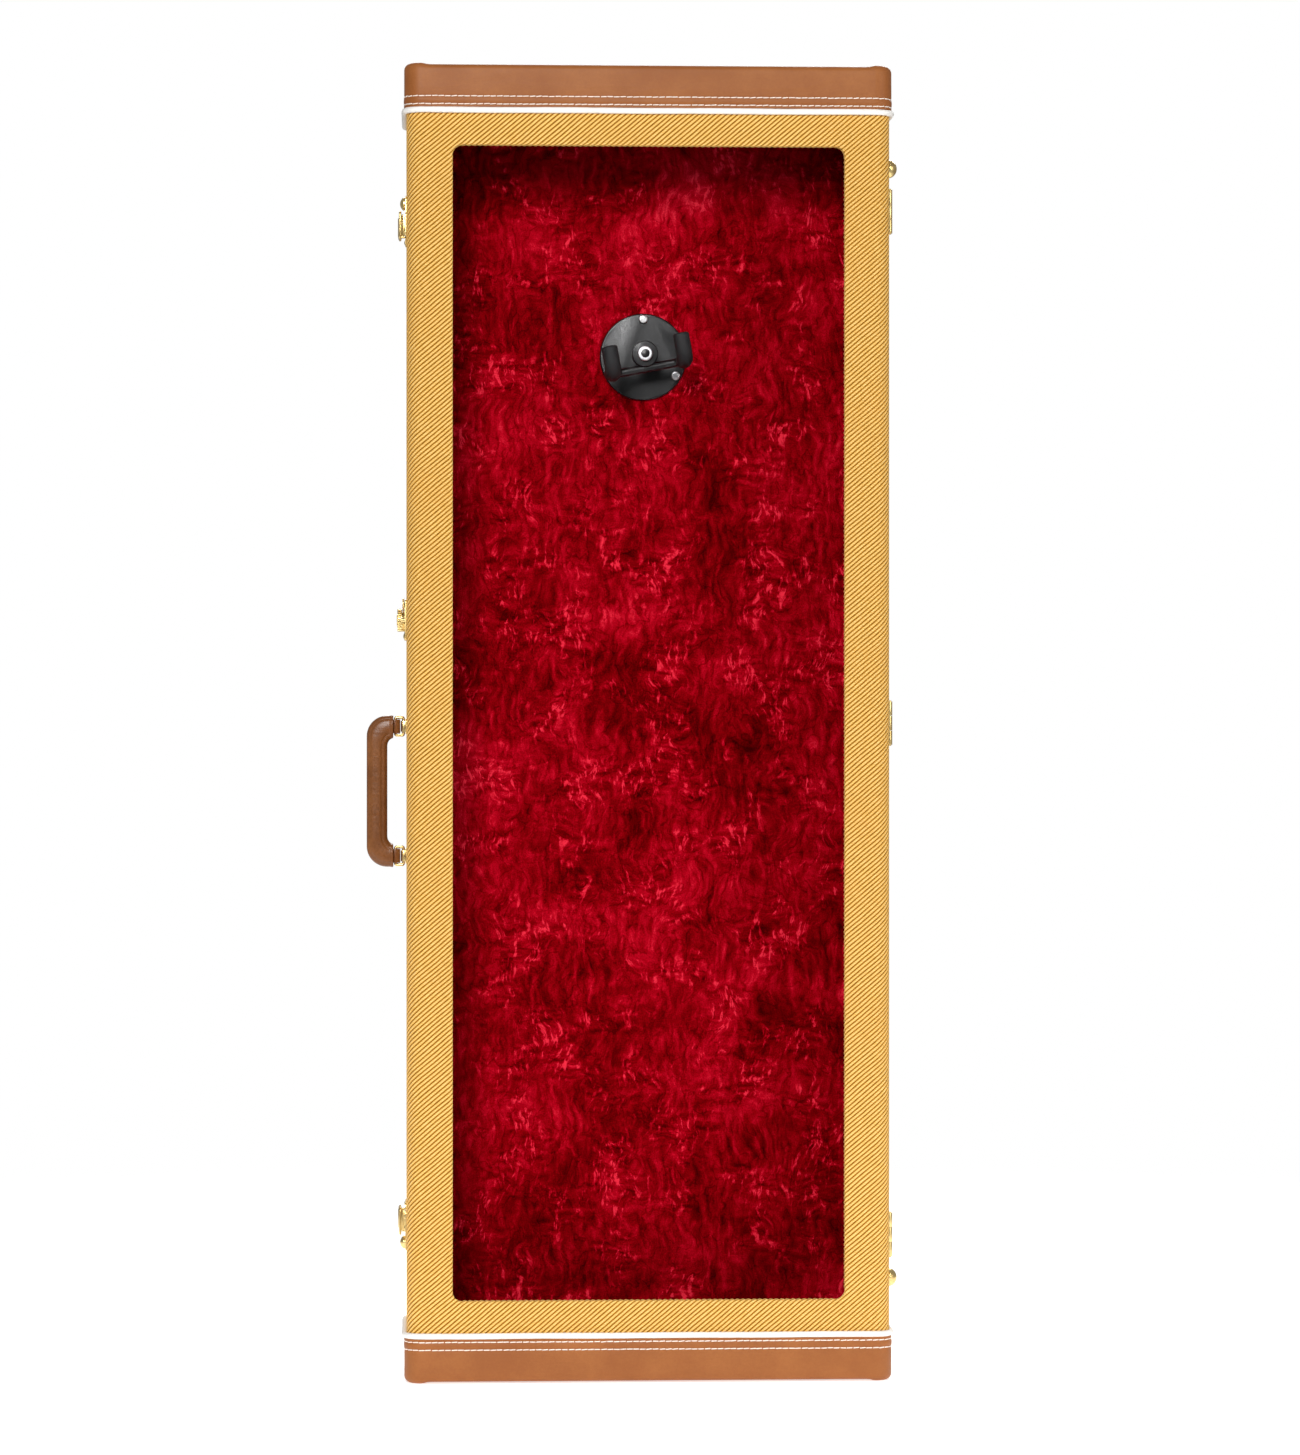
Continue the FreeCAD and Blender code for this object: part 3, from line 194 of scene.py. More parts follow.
# %% Wrap a socket
class Amount:
    """A number that varies over a surface."""

    def __init__(self, finish, socket):
        self.finish, self.socket = finish, socket

    def math(self, operation, *others):
        values = dict(enumerate((self, *others)))
        return self.finish.node("ShaderNodeMath", {"operation": operation}, values)

    def __add__(self, other):
        return self.math("ADD", other)

    def __sub__(self, other):
        return self.math("SUBTRACT", other)

    def __rsub__(self, other):
        values = {0: other, 1: self}
        return self.finish.node("ShaderNodeMath", {"operation": "SUBTRACT"}, values)

    def __mul__(self, other):
        return self.math("MULTIPLY", other)

    def __truediv__(self, other):
        return self.math("DIVIDE", other)

    def __pow__(self, other):
        return self.math("POWER", other)

    __radd__ = __add__
    __rmul__ = __mul__

    def between(self, low, high):
        """0 below low, 1 above high, smooth between them."""
        values = {"Value": self, 1: low, 2: high}
        return self.finish.node("ShaderNodeMapRange", {"interpolation_type": "SMOOTHSTEP"}, values)


# %% Build a finish
class Graph:
    """A tree of shader nodes."""

    def __init__(self, owner):
        owner.use_nodes = True
        self.tree = owner.node_tree

    def node(self, kind, settings=None, sockets=None, out=0):
        """Any node: its settings first, then the values or links of its sockets."""
        made = self.tree.nodes.new(kind)
        for key, value in (settings or {}).items():
            if key == "stops":
                stops = made.color_ramp.elements
                stops.remove(stops[-1])
                for i, (place, colour) in enumerate(value):
                    stop = stops[0] if i == 0 else stops.new(place)
                    stop.position, stop.color = place, colour
            else:
                setattr(made, key, value)
        for key, value in (sockets or {}).items():
            if isinstance(value, Amount):
                self.tree.links.new(value.socket, made.inputs[key])
            else:
                made.inputs[key].default_value = value
        if isinstance(out, tuple):
            return [Amount(self, made.outputs[name]) for name in out]
        return Amount(self, made.outputs[out])

    def surface(self, result):
        """Use this shader instead of the one that the tree came with."""
        end = [made for made in self.tree.nodes if made.type.startswith("OUTPUT")][0]
        self.tree.nodes.remove(end.inputs["Surface"].links[0].from_node)
        self.tree.links.new(result.socket, end.inputs["Surface"])


class Finish(Graph):
    """A material around one Principled shader."""

    def __init__(self, name, **constants):
        self.material = bpy.data.materials.new(name)
        super().__init__(self.material)
        self.shader = self.tree.nodes["Principled BSDF"]
        for socket, value in constants.items():
            self.shader.inputs[socket.replace("_", " ")].default_value = value

    def feed(self, **sockets):
        for name, value in sockets.items():
            self.tree.links.new(value.socket, self.shader.inputs[name.replace("_", " ")])
        return self


def paint(red, green, blue):
    """A colour as it is mixed on screen, 0 to 255, turned into the light that a shader works with."""
    shares = (c / 255 for c in (red, green, blue))
    light = [c / 12.92 if c < 0.0404 else ((c + 0.055) / 1.055) ** 2.4 for c in shares]
    return (*light, 1.0)


# %% Patterns that several finishes share
def place_on(finish, scale=(1, 1, 1), turn=(0, 0, 0)):
    """The piece's own coordinates, stretched and turned."""
    here = finish.node("ShaderNodeTexCoord", out="Object")
    return finish.node("ShaderNodeMapping", {}, {"Vector": here, "Rotation": turn, "Scale": scale})


def noise(finish, where, scale, detail=3.0, roughness=0.55, distortion=0.0):
    values = {"Vector": where, "Scale": scale, "Detail": detail}
    values |= {"Roughness": roughness, "Distortion": distortion}
    return finish.node("ShaderNodeTexNoise", {}, values)


def tint(finish, a, b, share):
    return finish.node("ShaderNodeMix", {"data_type": "RGBA"}, {0: share, 6: a, 7: b}, out=2)


def relief(finish, height, depth, strength=1.0, under=None):
    values = {"Height": height, "Distance": depth, "Strength": strength}
    if under is not None:
        values["Normal"] = under
    return finish.node("ShaderNodeBump", {}, values)


# %% [markdown]
# ## Tweed: the pattern of the cloth
# The covering is a twill: fat diagonal ribs, 3.3 mm apart, that rise to the right at 40 degrees, with a brown
# line of shade between them. The ribs are so coarse that they show on the outline, so the mesh has them too.
# The pattern is drawn on the flat cloth's own coordinates, so colour and mesh ribs always fall together.

# %% Rib sizes shared by the mesh and the finish
RIB_ANGLE = math.radians(40)
RIB_RISE = math.tan(RIB_ANGLE)
RIB_PITCH = 4.26 * MM
RIB_SHARES = (0.0, 0.16, 0.38, 0.62, 0.84)
RIB_HEIGHT = 0.85 * MM
YARN_TURN = 0.0021  # metres along a rib for one turn of its yarn


def rib_profile(flat):
    """Height of the ribs, 0 to 1, at flat cloth coordinates."""
    share = np.mod((flat[:, 1] - RIB_RISE * flat[:, 0]) / RIB_PITCH, 1.0)
    return np.sin(np.pi * share) ** 0.75


# %% Tweed finish
def make_tweed():
    tweed = Finish("tweed", Specular_IOR_Level=0.3, Sheen_Weight=0.03, Sheen_Roughness=0.4)
    flat = tweed.node("ShaderNodeUVMap", {"uv_map": "cloth"})
    across, up, _ = tweed.node("ShaderNodeSeparateXYZ", {}, {0: flat}, out=("X", "Y", "Z"))
    ribs = (up - across * RIB_RISE) / RIB_PITCH
    share = ribs.math("FRACT")
    crest = (share * math.pi).math("SINE") ** 0.8
    run = across * (math.cos(RIB_ANGLE) / YARN_TURN) + up * (math.sin(RIB_ANGLE) / YARN_TURN)
    twist = ((run + ribs.math("FLOOR") * 0.5 + share * 0.9).math("FRACT") * math.pi).math("SINE")
    fibre = noise(tweed, flat, 2600.0, 2.0)
    slub = noise(tweed, flat, 190.0, 3.0, 0.7)
    patches = noise(tweed, flat, 14.0, 2.0)
    yarn = crest * (twist * 0.22 + 0.80) + (fibre - 0.5) * 0.22 + (slub - 0.5) * 0.30
    stops = [
        (0.05, paint(104, 64, 6)),
        (0.34, paint(170, 116, 22)),
        (0.66, paint(222, 166, 66)),
        (0.86, paint(237, 187, 96)),
        (1.00, paint(245, 208, 138)),
    ]
    colour = tweed.node("ShaderNodeValToRGB", {"stops": stops}, {0: yarn})
    warm = tint(tweed, colour, paint(214, 150, 62), patches.between(0.42, 0.8) * 0.16)
    bumps = relief(tweed, twist * crest + fibre * 0.5, 0.3 * MM, 0.8)
    return tweed.feed(Base_Color=warm, Roughness=0.62 - crest * 0.16 + fibre * 0.1, Normal=bumps)


tweed = make_tweed()
print("tweed: ribs", round(RIB_PITCH * math.cos(RIB_ANGLE) / MM, 2), "mm apart")

# %% [markdown]
# ## Bending flat pieces round the case
# Cloth, piping and stitches are all made flat, as they lie on a bench, and then wrapped round the box. A flat
# piece lies in the XZ plane with its outside towards -Y; past the straight front it follows the round corner
# and then the side. The base's pieces are wrapped the same way and turned to the back.

# %% Wrap a flat piece
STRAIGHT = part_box("lid_tweed")[1].x - 14 * MM
LID_RIM, BASE_RIM = cloth_hi.y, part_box("base_tweed")[0].y


def bend_round(piece, half_w, half_d, on_base=False):
    flat = points_of(piece)
    s, out = flat[:, 0], -flat[:, 1]
    r = half_w - STRAIGHT
    past = np.abs(s) - STRAIGHT
    angle = np.clip(past, 0, r * math.pi / 2) / r
    x = np.sign(s) * (np.minimum(np.abs(s), STRAIGHT) + (r + out) * np.sin(angle))
    y = -(half_d - r) - (r + out) * np.cos(angle) + np.maximum(past - r * math.pi / 2, 0)
    way = -1 if on_base else 1
    move_points(piece, np.stack([x * way, y * way, flat[:, 2]], 1))


def flat_reach(half_w, half_d, on_base=False):
    """Distance along the wrap from the middle of the front or back to the rim."""
    r = half_w - STRAIGHT
    side = half_d - r + (-BASE_RIM if on_base else LID_RIM)
    return STRAIGHT + r * math.pi / 2 + side


def finished(piece, name, body, finish, slot, *stands_for, smooth=40):
    """Place in the mesh, then name, dress and ride."""
    only(piece)
    bpy.ops.object.transform_apply(location=True, rotation=True, scale=True)
    if smooth:
        bpy.ops.object.shade_smooth_by_angle(angle=math.radians(smooth))
    piece.name = piece.data.name = name
    piece.data.materials.clear()
    piece.data.materials.append(finish.material)
    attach(piece, body)
    if stands_for:
        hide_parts(*stands_for)
    print(name, len(piece.data.polygons), "faces")
    return piece


# %% [markdown]
# ## Tweed: cutting and wrapping the sheets
# The sheet starts as a grid whose rows are slid until they follow the ribs: five rows a rib give a round rib
# with a sharp groove, for far fewer faces than a fine square grid. It is then trimmed with straight cuts,
# raised into ribs and bent round the box. Its edge at the rim rolls over the wood.


# %% A flat ribbed sheet
def ribbed_sheet(half_columns, roll, start, z0, z1):
    columns = np.array([-c for c in half_columns[:0:-1]] + list(half_columns))
    ends = RIB_RISE * (columns[[0, -1]] + start)
    first, last = math.floor((z0 - ends[1]) / RIB_PITCH) - 1, math.ceil((z1 - ends[0]) / RIB_PITCH) + 1
    rows = np.array([(k + share) * RIB_PITCH for k in range(first, last) for share in RIB_SHARES])
    bpy.ops.mesh.primitive_grid_add(x_subdivisions=len(columns) - 1, y_subdivisions=len(rows) - 1, size=2)
    sheet = bpy.context.object
    grid = points_of(sheet)
    i = np.rint((grid[:, 0] + 1) / 2 * (len(columns) - 1)).astype(int)
    j = np.rint((grid[:, 1] + 1) / 2 * (len(rows) - 1)).astype(int)
    s, v = columns[i], rows[j] + RIB_RISE * (columns[i] + start)
    wander = 0.22 * MM * np.sin(v / 0.0151 + s / 0.0093) + 0.18 * MM * np.sin(v / 0.0067 - s / 0.0211 + 1.3)
    edge = columns[-1] - np.abs(s)
    lift = np.where(edge < roll, -(roll - np.sqrt(np.maximum(roll**2 - (roll - edge) ** 2, 0))), 0)
    move_points(sheet, np.stack([s, -lift, v + wander], 1))
    corners = read(sheet.data.loops, "vertex_index", 1, int)
    cloth = sheet.data.uv_layers[0]
    cloth.name = "cloth"
    cloth.data.foreach_set("uv", np.stack([s + start, v], 1)[corners].astype(np.float32).ravel())
    trim(sheet, (0, 0, z0), (0, 0, -1))
    trim(sheet, (0, 0, z1), (0, 0, 1))
    return sheet


def cloth_coordinates(piece):
    corners = read(piece.data.loops, "vertex_index", 1, int)
    flat = np.zeros((len(piece.data.vertices), 2))
    flat[corners] = read(piece.data.uv_layers["cloth"].data, "uv", 2)
    return flat


# %% Base sheet, wrapped round sides and back
HALF_W, HALF_D = cloth_hi.x, -cloth_lo.y
CLOTH_Z0, CLOTH_Z1 = cloth_lo.z - 1.2 * MM, cloth_hi.z + 1.2 * MM
ARC = (HALF_W - STRAIGHT) * math.pi / 2
ROLL = 0.9 * MM
base_reach = flat_reach(HALF_W, HALF_D, True)
lid_reach = flat_reach(HALF_W, HALF_D)


def rim_columns(reach):
    """Columns that turn the last strip of cloth over the rim."""
    return [reach - ROLL * share for share in (1.0, 0.5, 0.18, 0.04, 0.0)]


round_columns = [STRAIGHT + ARC * k / 7 for k in range(8)]
base_columns = [STRAIGHT * k / 9 for k in range(9)] + round_columns
base_columns += [STRAIGHT + ARC + 18 * MM * k for k in (1, 2, 3, 4)] + rim_columns(base_reach)
base_cloth = ribbed_sheet(base_columns, ROLL, base_reach + lid_reach, CLOTH_Z0, CLOTH_Z1)
flat = points_of(base_cloth)
flat[:, 1] -= RIB_HEIGHT * (rib_profile(cloth_coordinates(base_cloth)) - 0.9)
move_points(base_cloth, flat)
bend_round(base_cloth, HALF_W, HALF_D, True)
finished(base_cloth, "base_tweed_cloth", "base", tweed, "tweed", "base_tweed", smooth=60)

# %% [markdown]
# ## The window cut in the lid's cloth
# The window could be a boolean, but a boolean leaves ragged triangles in a ribbed sheet. Instead the sheet is
# cut along the window's sides and, near each corner only, along five short chords; then what lies inside is
# deleted. The strip that turns in round the wood comes next, on its own.

# %% Lid sheet
window_lo, window_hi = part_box("window_pane")
WINDOW_X = window_hi.x - 14 * MM
WINDOW_Z = (window_hi.z - window_lo.z) / 2 - 14 * MM
MIDDLE_Z = (window_hi.z + window_lo.z) / 2
TURN_R = 1.6 * MM
CORNER_R = 8.5 * MM + TURN_R
HOLE = TURN_R + 0.5 * MM
lid_columns = [(WINDOW_X + HOLE) * k / 9 for k in range(10)] + [STRAIGHT - 13 * MM] + round_columns
lid_columns += [STRAIGHT + ARC + 11 * MM * k for k in (1, 2)] + rim_columns(lid_reach)
lid_cloth = ribbed_sheet(lid_columns, ROLL, 0.0, CLOTH_Z0, CLOTH_Z1)
half_x, half_z, corner_r = WINDOW_X + HOLE, WINDOW_Z + HOLE, CORNER_R + 0.5 * MM
slice_at(lid_cloth, 2, (MIDDLE_Z - half_z, MIDDLE_Z + half_z))


def near_corner(side, end, slack):
    def test(middle, way):
        near_x = middle[:, 0] * side > half_x - corner_r - slack
        near_z = (middle[:, 2] - MIDDLE_Z) * end > half_z - corner_r - slack
        return near_x & near_z & (middle[:, 0] * side < half_x + 2 * MM)

    return test


for side in (-1, 1):
    for end in (-1, 1):
        centre = Vector((side * (half_x - corner_r), 0, MIDDLE_Z + end * (half_z - corner_r)))
        for k in range(6):
            turn = math.pi / 12 * (k + 0.5)
            way = Vector((side * math.cos(turn), 0, end * math.sin(turn)))
            pick(lid_cloth, "FACE", near_corner(side, end, 9 * MM))
            bpy.ops.mesh.bisect(plane_co=centre + way * corner_r * math.cos(math.pi / 24), plane_no=way)
            leave_edit()


def inside_window(middle, way):
    x, z = np.abs(middle[:, 0]), np.abs(middle[:, 2] - MIDDLE_Z)
    dx, dz = np.maximum(x - half_x + corner_r, 0), np.maximum(z - half_z + corner_r, 0)
    inside = (x < half_x) & (z < half_z)
    return inside & (np.hypot(dx, dz) < corner_r * 0.9995)


pick(lid_cloth, "FACE", inside_window)
bpy.ops.mesh.delete(type="FACE")
leave_edit()
flat = points_of(lid_cloth)
flat[:, 1] -= RIB_HEIGHT * (rib_profile(cloth_coordinates(lid_cloth)) - 0.9)
move_points(lid_cloth, flat)
bend_round(lid_cloth, HALF_W, HALF_D)
finished(lid_cloth, "lid_tweed_cloth", "lid", tweed, "tweed", "lid_tweed", smooth=60)

# %% [markdown]
# ## The turned-in edge of the window
# Round the opening the cloth rolls over the wood and runs in to the pane. A strip of grid is laid along the
# opening's outline, its rows rolled round a small radius, and its ribs continue those of the sheet, so the
# opening gets the same notched outline as the real cloth.


# %% Outline of the opening
def window_outline(hx, hz, r, step_x, step_z):
    """Points round the window and the direction to its inside at each."""
    places, inward = [], []
    x, z = hx - r, hz - r
    corners = [(x, -z, -90), (x, z, 0), (-x, z, 90), (-x, -z, 180)]
    for (cx, cz, start), (nx, nz, _) in zip(corners, corners[1:] + corners[:1]):
        for k in range(14):
            turn = math.radians(start + 90 * k / 14)
            way = np.array([math.cos(turn), math.sin(turn)])
            places.append(np.array([cx, cz]) + r * way)
            inward.append(-way)
        turn = math.radians(start + 90)
        way = np.array([math.cos(turn), math.sin(turn)])
        a, b = np.array([cx, cz]) + r * way, np.array([nx, nz]) + r * way
        count = round(np.linalg.norm(b - a) / (step_x if abs(way[1]) > 0.5 else step_z))
        places += [a + (b - a) * k / count for k in range(count)]
        inward += [-way] * count
    return np.array(places + places[:1]), np.array(inward + inward[:1])


# %% Lay the strip and roll it in
outline, inward = window_outline(
    WINDOW_X + TURN_R, WINDOW_Z + TURN_R, CORNER_R, RIB_PITCH / RIB_RISE / 5, RIB_PITCH / 5
)
quarter = TURN_R * math.pi / 2
depth = window_lo.y - cloth_lo.y
roll_rows = [quarter * k / 4 for k in range(5)]
strip_rows = np.array([-1.4 * MM] + roll_rows + [quarter + 2.5 * MM, quarter + depth - TURN_R])
bpy.ops.mesh.primitive_grid_add(x_subdivisions=len(outline) - 1, y_subdivisions=len(strip_rows) - 1, size=2)
turn_in = bpy.context.object
grid = points_of(turn_in)
i = np.rint((grid[:, 0] + 1) / 2 * (len(outline) - 1)).astype(int)
t = strip_rows[np.rint((grid[:, 1] + 1) / 2 * (len(strip_rows) - 1)).astype(int)]
angle = np.clip(t, 0, quarter) / TURN_R
along = np.where(t < 0, t, TURN_R * np.sin(angle))
back = TURN_R * (1 - np.cos(angle)) + np.maximum(t - quarter, 0)
place = outline[i] + inward[i] * along[:, None]
flat = outline[i] + inward[i] * t[:, None] + [0, MIDDLE_Z]
move_points(turn_in, np.stack([place[:, 0], cloth_lo.y + 0.05 * MM + back, place[:, 1] + MIDDLE_Z], 1))
corners = read(turn_in.data.loops, "vertex_index", 1, int)
turn_in.data.uv_layers[0].name = "cloth"
turn_in.data.uv_layers[0].data.foreach_set("uv", flat[corners].astype(np.float32).ravel())
normal = read(turn_in.data.vertex_normals, "vector", 3)
height = RIB_HEIGHT * (rib_profile(flat) - 0.9)
move_points(turn_in, points_of(turn_in) + normal * height[:, None])
finished(turn_in, "lid_tweed_turn_in", "lid", tweed, "tweed", smooth=60)

# %% [markdown]
# ## Leathercloth and vinyl
# Leathercloth is a printed, embossed sheet: an even brown, a fine pebble grain, soft gloss. The grain is a
# Voronoi pattern seen as relief only. The piping is smooth white vinyl over a cord.


# %% Brown leathercloth and white vinyl
def make_leathercloth(name, dark, light, gloss):
    leather = Finish(name, Specular_IOR_Level=0.3)
    here = place_on(leather)
    cloudy = noise(leather, here, 22.0, 4.0, 0.6)
    flecks = noise(leather, here, 420.0, 3.0, 0.7)
    spots = {"Vector": here, "Scale": 820.0}
    pebbles = leather.node("ShaderNodeTexVoronoi", {"feature": "SMOOTH_F1"}, spots)
    folds = noise(leather, place_on(leather, (18, 18, 90)), 1.0, 4.0, 0.6, 0.6)
    colour = tint(leather, dark, light, (cloudy * 0.8 + flecks * 0.35 - 0.1).between(0.25, 0.85))
    grain = relief(leather, pebbles + flecks * 0.4, 0.10 * MM, 0.55)
    normal = relief(leather, folds, 1.2 * MM, 0.35, grain)
    return leather.feed(Base_Color=colour, Roughness=gloss + flecks * 0.22 - cloudy * 0.08, Normal=normal)


wrap_leather = make_leathercloth("wrap_leathercloth", paint(143, 82, 37), paint(164, 101, 50), 0.44)


def make_vinyl():
    vinyl = Finish("white_piping", Specular_IOR_Level=0.5)
    here = place_on(vinyl)
    grime = noise(vinyl, here, 35.0, 4.0, 0.65)
    dents = noise(vinyl, here, 160.0, 2.0)
    colour = tint(vinyl, paint(246, 243, 238), paint(226, 218, 206), grime.between(0.5, 0.85) * 0.6)
    dented = relief(vinyl, dents, 0.5 * MM, 0.5)
    return vinyl.feed(Base_Color=colour, Roughness=0.36 + grime * 0.2, Normal=dented)


def make_thread():
    thread = Finish("stitch_thread", Sheen_Weight=0.3)
    twist = noise(thread, place_on(thread, (1, 1, 2.4)), 1500.0, 2.0)
    colour = tint(thread, paint(240, 220, 206), paint(255, 250, 242), twist)
    twisted = relief(thread, twist, 0.1 * MM, 0.6)
    return thread.feed(Base_Color=colour, Roughness=0.7 + twist * 0.2, Normal=twisted)


white_vinyl, thread = make_vinyl(), make_thread()

# %% [markdown]
# ## End wraps
# Each end of the case wears a cap of padded leathercloth with a doubled hem, sewn down by two rows of
# stitches. A cube gets its long edges and end edges bevelled, the open side is deleted, hem lines are cut with
# bisects, and a wall is given at the end. The corners keep the extra thickness of the folded-in cloth.

# %% Shape one cap as a single skin
WRAP_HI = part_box("base_wrap_bottom")[1]
WRAP_W, WRAP_D, WRAP_H = WRAP_HI.x, WRAP_HI.y, WRAP_HI.z
PIPING_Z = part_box("base_piping")[0].z + 2.75 * MM
HEM_LINES = [  # distance from the piping's middle towards the end, and how far it stands out
    (4.2, 0.0), (5.0, -0.25), (5.6, -0.32), (6.3, -0.1), (7.4, 0.22), (9.2, 0.34),
    (11.0, 0.2), (12.0, -0.12), (12.6, -0.32), (13.3, -0.22), (15.0, 0.0),
]


def shape_cap():
    bpy.ops.mesh.primitive_cube_add(size=1, location=(0, 0, WRAP_H / 2))
    cap = bpy.context.object
    cap.scale = (2 * WRAP_W, 2 * WRAP_D, WRAP_H)
    bpy.ops.object.transform_apply(location=True, rotation=True, scale=True)
    pick(cap, "EDGE", lambda middle, way: np.abs(way[:, 2]) > 1e-4)
    bpy.ops.mesh.bevel(offset=WRAP_W - STRAIGHT, segments=8, affect="EDGES")
    leave_edit()
    pick(cap, "EDGE", lambda middle, way: (middle[:, 2] < 1e-5) & (np.abs(way[:, 2]) < 1e-6))
    bpy.ops.mesh.bevel(offset=6 * MM, segments=5, affect="EDGES")
    leave_edit()
    pick(cap, "FACE", lambda middle, way: way[:, 2] > 0.9)
    bpy.ops.mesh.delete(type="FACE")
    leave_edit()
    return cap


cap = shape_cap()
slice_at(cap, 2, [PIPING_Z - d * MM for d, _ in HEM_LINES] + [19 * MM, 11 * MM])
columns = (205, 202, 199, 175, 150, 125, 100, 75, 50, 25)
slice_at(cap, 0, [side * x * MM for side in (-1, 1) for x in columns] + [0.0])
slice_at(cap, 1, [y * MM for y in (-44, -33, -10, 0, 12, 24, 36, 48)])
print("cap skin", len(cap.data.polygons), "faces")


# %% [markdown]
# ## Hem, soft corners and unevenness
# The hem lines move in or out along the surface, the middle of the end face sinks a little below the folded
# corners, and a cloud-shaped displacement keeps the flat faces from looking machined.


# %% Finish the caps and cut them at the rim
def push_out(piece, amount):
    """Move every point along its normal."""
    normal = read(piece.data.vertex_normals, "vector", 3)
    move_points(piece, points_of(piece) + normal * np.asarray(amount)[:, None])


points = points_of(cap)
hem = np.zeros(len(points))
for d, out in HEM_LINES:
    hem[np.abs(points[:, 2] - (PIPING_Z - d * MM)) < 1e-5] = out * MM
push_out(cap, hem)
points = points_of(cap)
from_corner = WRAP_W - np.abs(points[:, 0])
sunk = np.clip((from_corner - 15 * MM) / (8 * MM), 0, 1)
points[:, 2] += 1.3 * MM * sunk * sunk * (3 - 2 * sunk) * np.clip(1 - points[:, 2] / (9 * MM), 0, 1)
move_points(cap, points)
clouds = bpy.data.textures.new("uneven", "CLOUDS")
clouds.noise_scale = 0.05
inner = points_of(cap)[:, 2] > 3 * MM
cap.vertex_groups.new(name="sides").add([int(i) for i in np.nonzero(inner)[0]], 1.0, "REPLACE")
apply_modifier(cap, "DISPLACE", texture=clouds, strength=0.5 * MM, mid_level=0.5, vertex_group="sides")


def cap_half(on_base, at_top):
    only(cap)
    bpy.ops.object.duplicate()
    half = bpy.context.object
    if on_base:
        trim(half, (0, BASE_RIM, 0), (0, -1, 0))
    else:
        trim(half, (0, LID_RIM, 0), (0, 1, 0))
    if at_top:
        points = points_of(half)
        points[:, 2] = 2 * MIDDLE_Z - points[:, 2]
        move_points(half, points)
        only(half)
        bpy.ops.object.mode_set(mode="EDIT")
        bpy.ops.mesh.select_all(action="SELECT")
        bpy.ops.mesh.flip_normals()
        leave_edit()
    apply_modifier(half, "SOLIDIFY", thickness=2.3 * MM, offset=-1)
    return half


for body, on_base in (("lid", False), ("base", True)):
    for where, at_top in (("bottom", False), ("top", True)):
        name = f"{body}_wrap_{where}"
        half = cap_half(on_base, at_top)
        finished(half, name + "_leather", body, wrap_leather, "wrap_leathercloth", name, smooth=50)
bpy.data.objects.remove(cap)

# %% [markdown]
# ## Piping
# Piping is a cord sewn into a strip of white vinyl. It is a long cylinder, cut into short lengths so that it
# can bend, made a little uneven, and wrapped round the case at each hem. On the hinge side its ends are cut
# slanting, so that the two halves don't meet when the lid swings.

# %% Piping round both ends of both halves
PIPE_R = 2.75 * MM
PIPE_W, PIPE_D = WRAP_W - 0.25 * MM, WRAP_D - 0.25 * MM
hinge = [j for j in frame["joints"] if j["name"] == "lid_hinge"][0]["pos_m"]
rng = np.random.default_rng(7)


def piping(on_base, z, seed):
    reach = flat_reach(PIPE_W, PIPE_D, on_base)
    bpy.ops.mesh.primitive_cylinder_add(
        vertices=14, radius=PIPE_R, depth=2 * reach, rotation=(0, math.pi / 2, 0)
    )
    pipe = bpy.context.object
    bpy.ops.object.transform_apply(location=True, rotation=True, scale=True)
    pick(pipe, "EDGE", lambda middle, way: np.abs(way[:, 0]) > reach)
    bpy.ops.mesh.subdivide(number_cuts=259)
    leave_edit()
    points = points_of(pipe)
    s = points[:, 0]
    starts = np.clip((np.abs(s) - STRAIGHT + 4 * MM) / (6 * MM), 0, 1)
    ends = np.clip((STRAIGHT + 30 * MM - np.abs(s)) / (6 * MM), 0, 1)
    pucker = 0.10 * np.sin(s / 0.00062 + seed) * (starts * ends) * (points[:, 1] < 0)
    swell = 1 + 0.025 * np.sin(s / 0.0131 + seed) + 0.02 * np.sin(s / 0.0047 + 2 * seed)
    swell -= 0.6 * np.abs(pucker)
    points[:, 1:] *= np.minimum(swell, 1.0)[:, None]
    points[:, 2] += z + 0.12 * MM * np.sin(s / 0.021 + 3 * seed)
    move_points(pipe, points)
    bend_round(pipe, PIPE_W, PIPE_D, on_base)
    slant = Vector((1, 1 if not on_base else -1, 0)).normalized()
    trim(pipe, Vector(hinge) - slant * 2.7 * MM, slant, fill=True)
    return pipe


def join_all(parts):
    only(parts[0])
    for part in parts:
        part.select_set(True)
    bpy.ops.object.join()
    return bpy.context.object


for body, on_base in (("lid", False), ("base", True)):
    heights = (PIPING_Z, 2 * MIDDLE_Z - PIPING_Z)
    cord = join_all([piping(on_base, z, 1.7 * k + on_base) for k, z in enumerate(heights)])
    finished(cord, f"{body}_piping_cord", body, white_vinyl, "white_piping", f"{body}_piping", smooth=60)

# %% [markdown]
# ## Stitches
# Two rows of thick pale thread hold each hem. One stitch is a bevelled bar, pinched at its ends where it dives
# into the leather. An Array modifier repeats it on the flat, each copy is nudged a little as a machine
# stitch really lies, and the row is wrapped like the piping.

# %% Sew both hems
STITCH_PITCH = 5.9 * MM


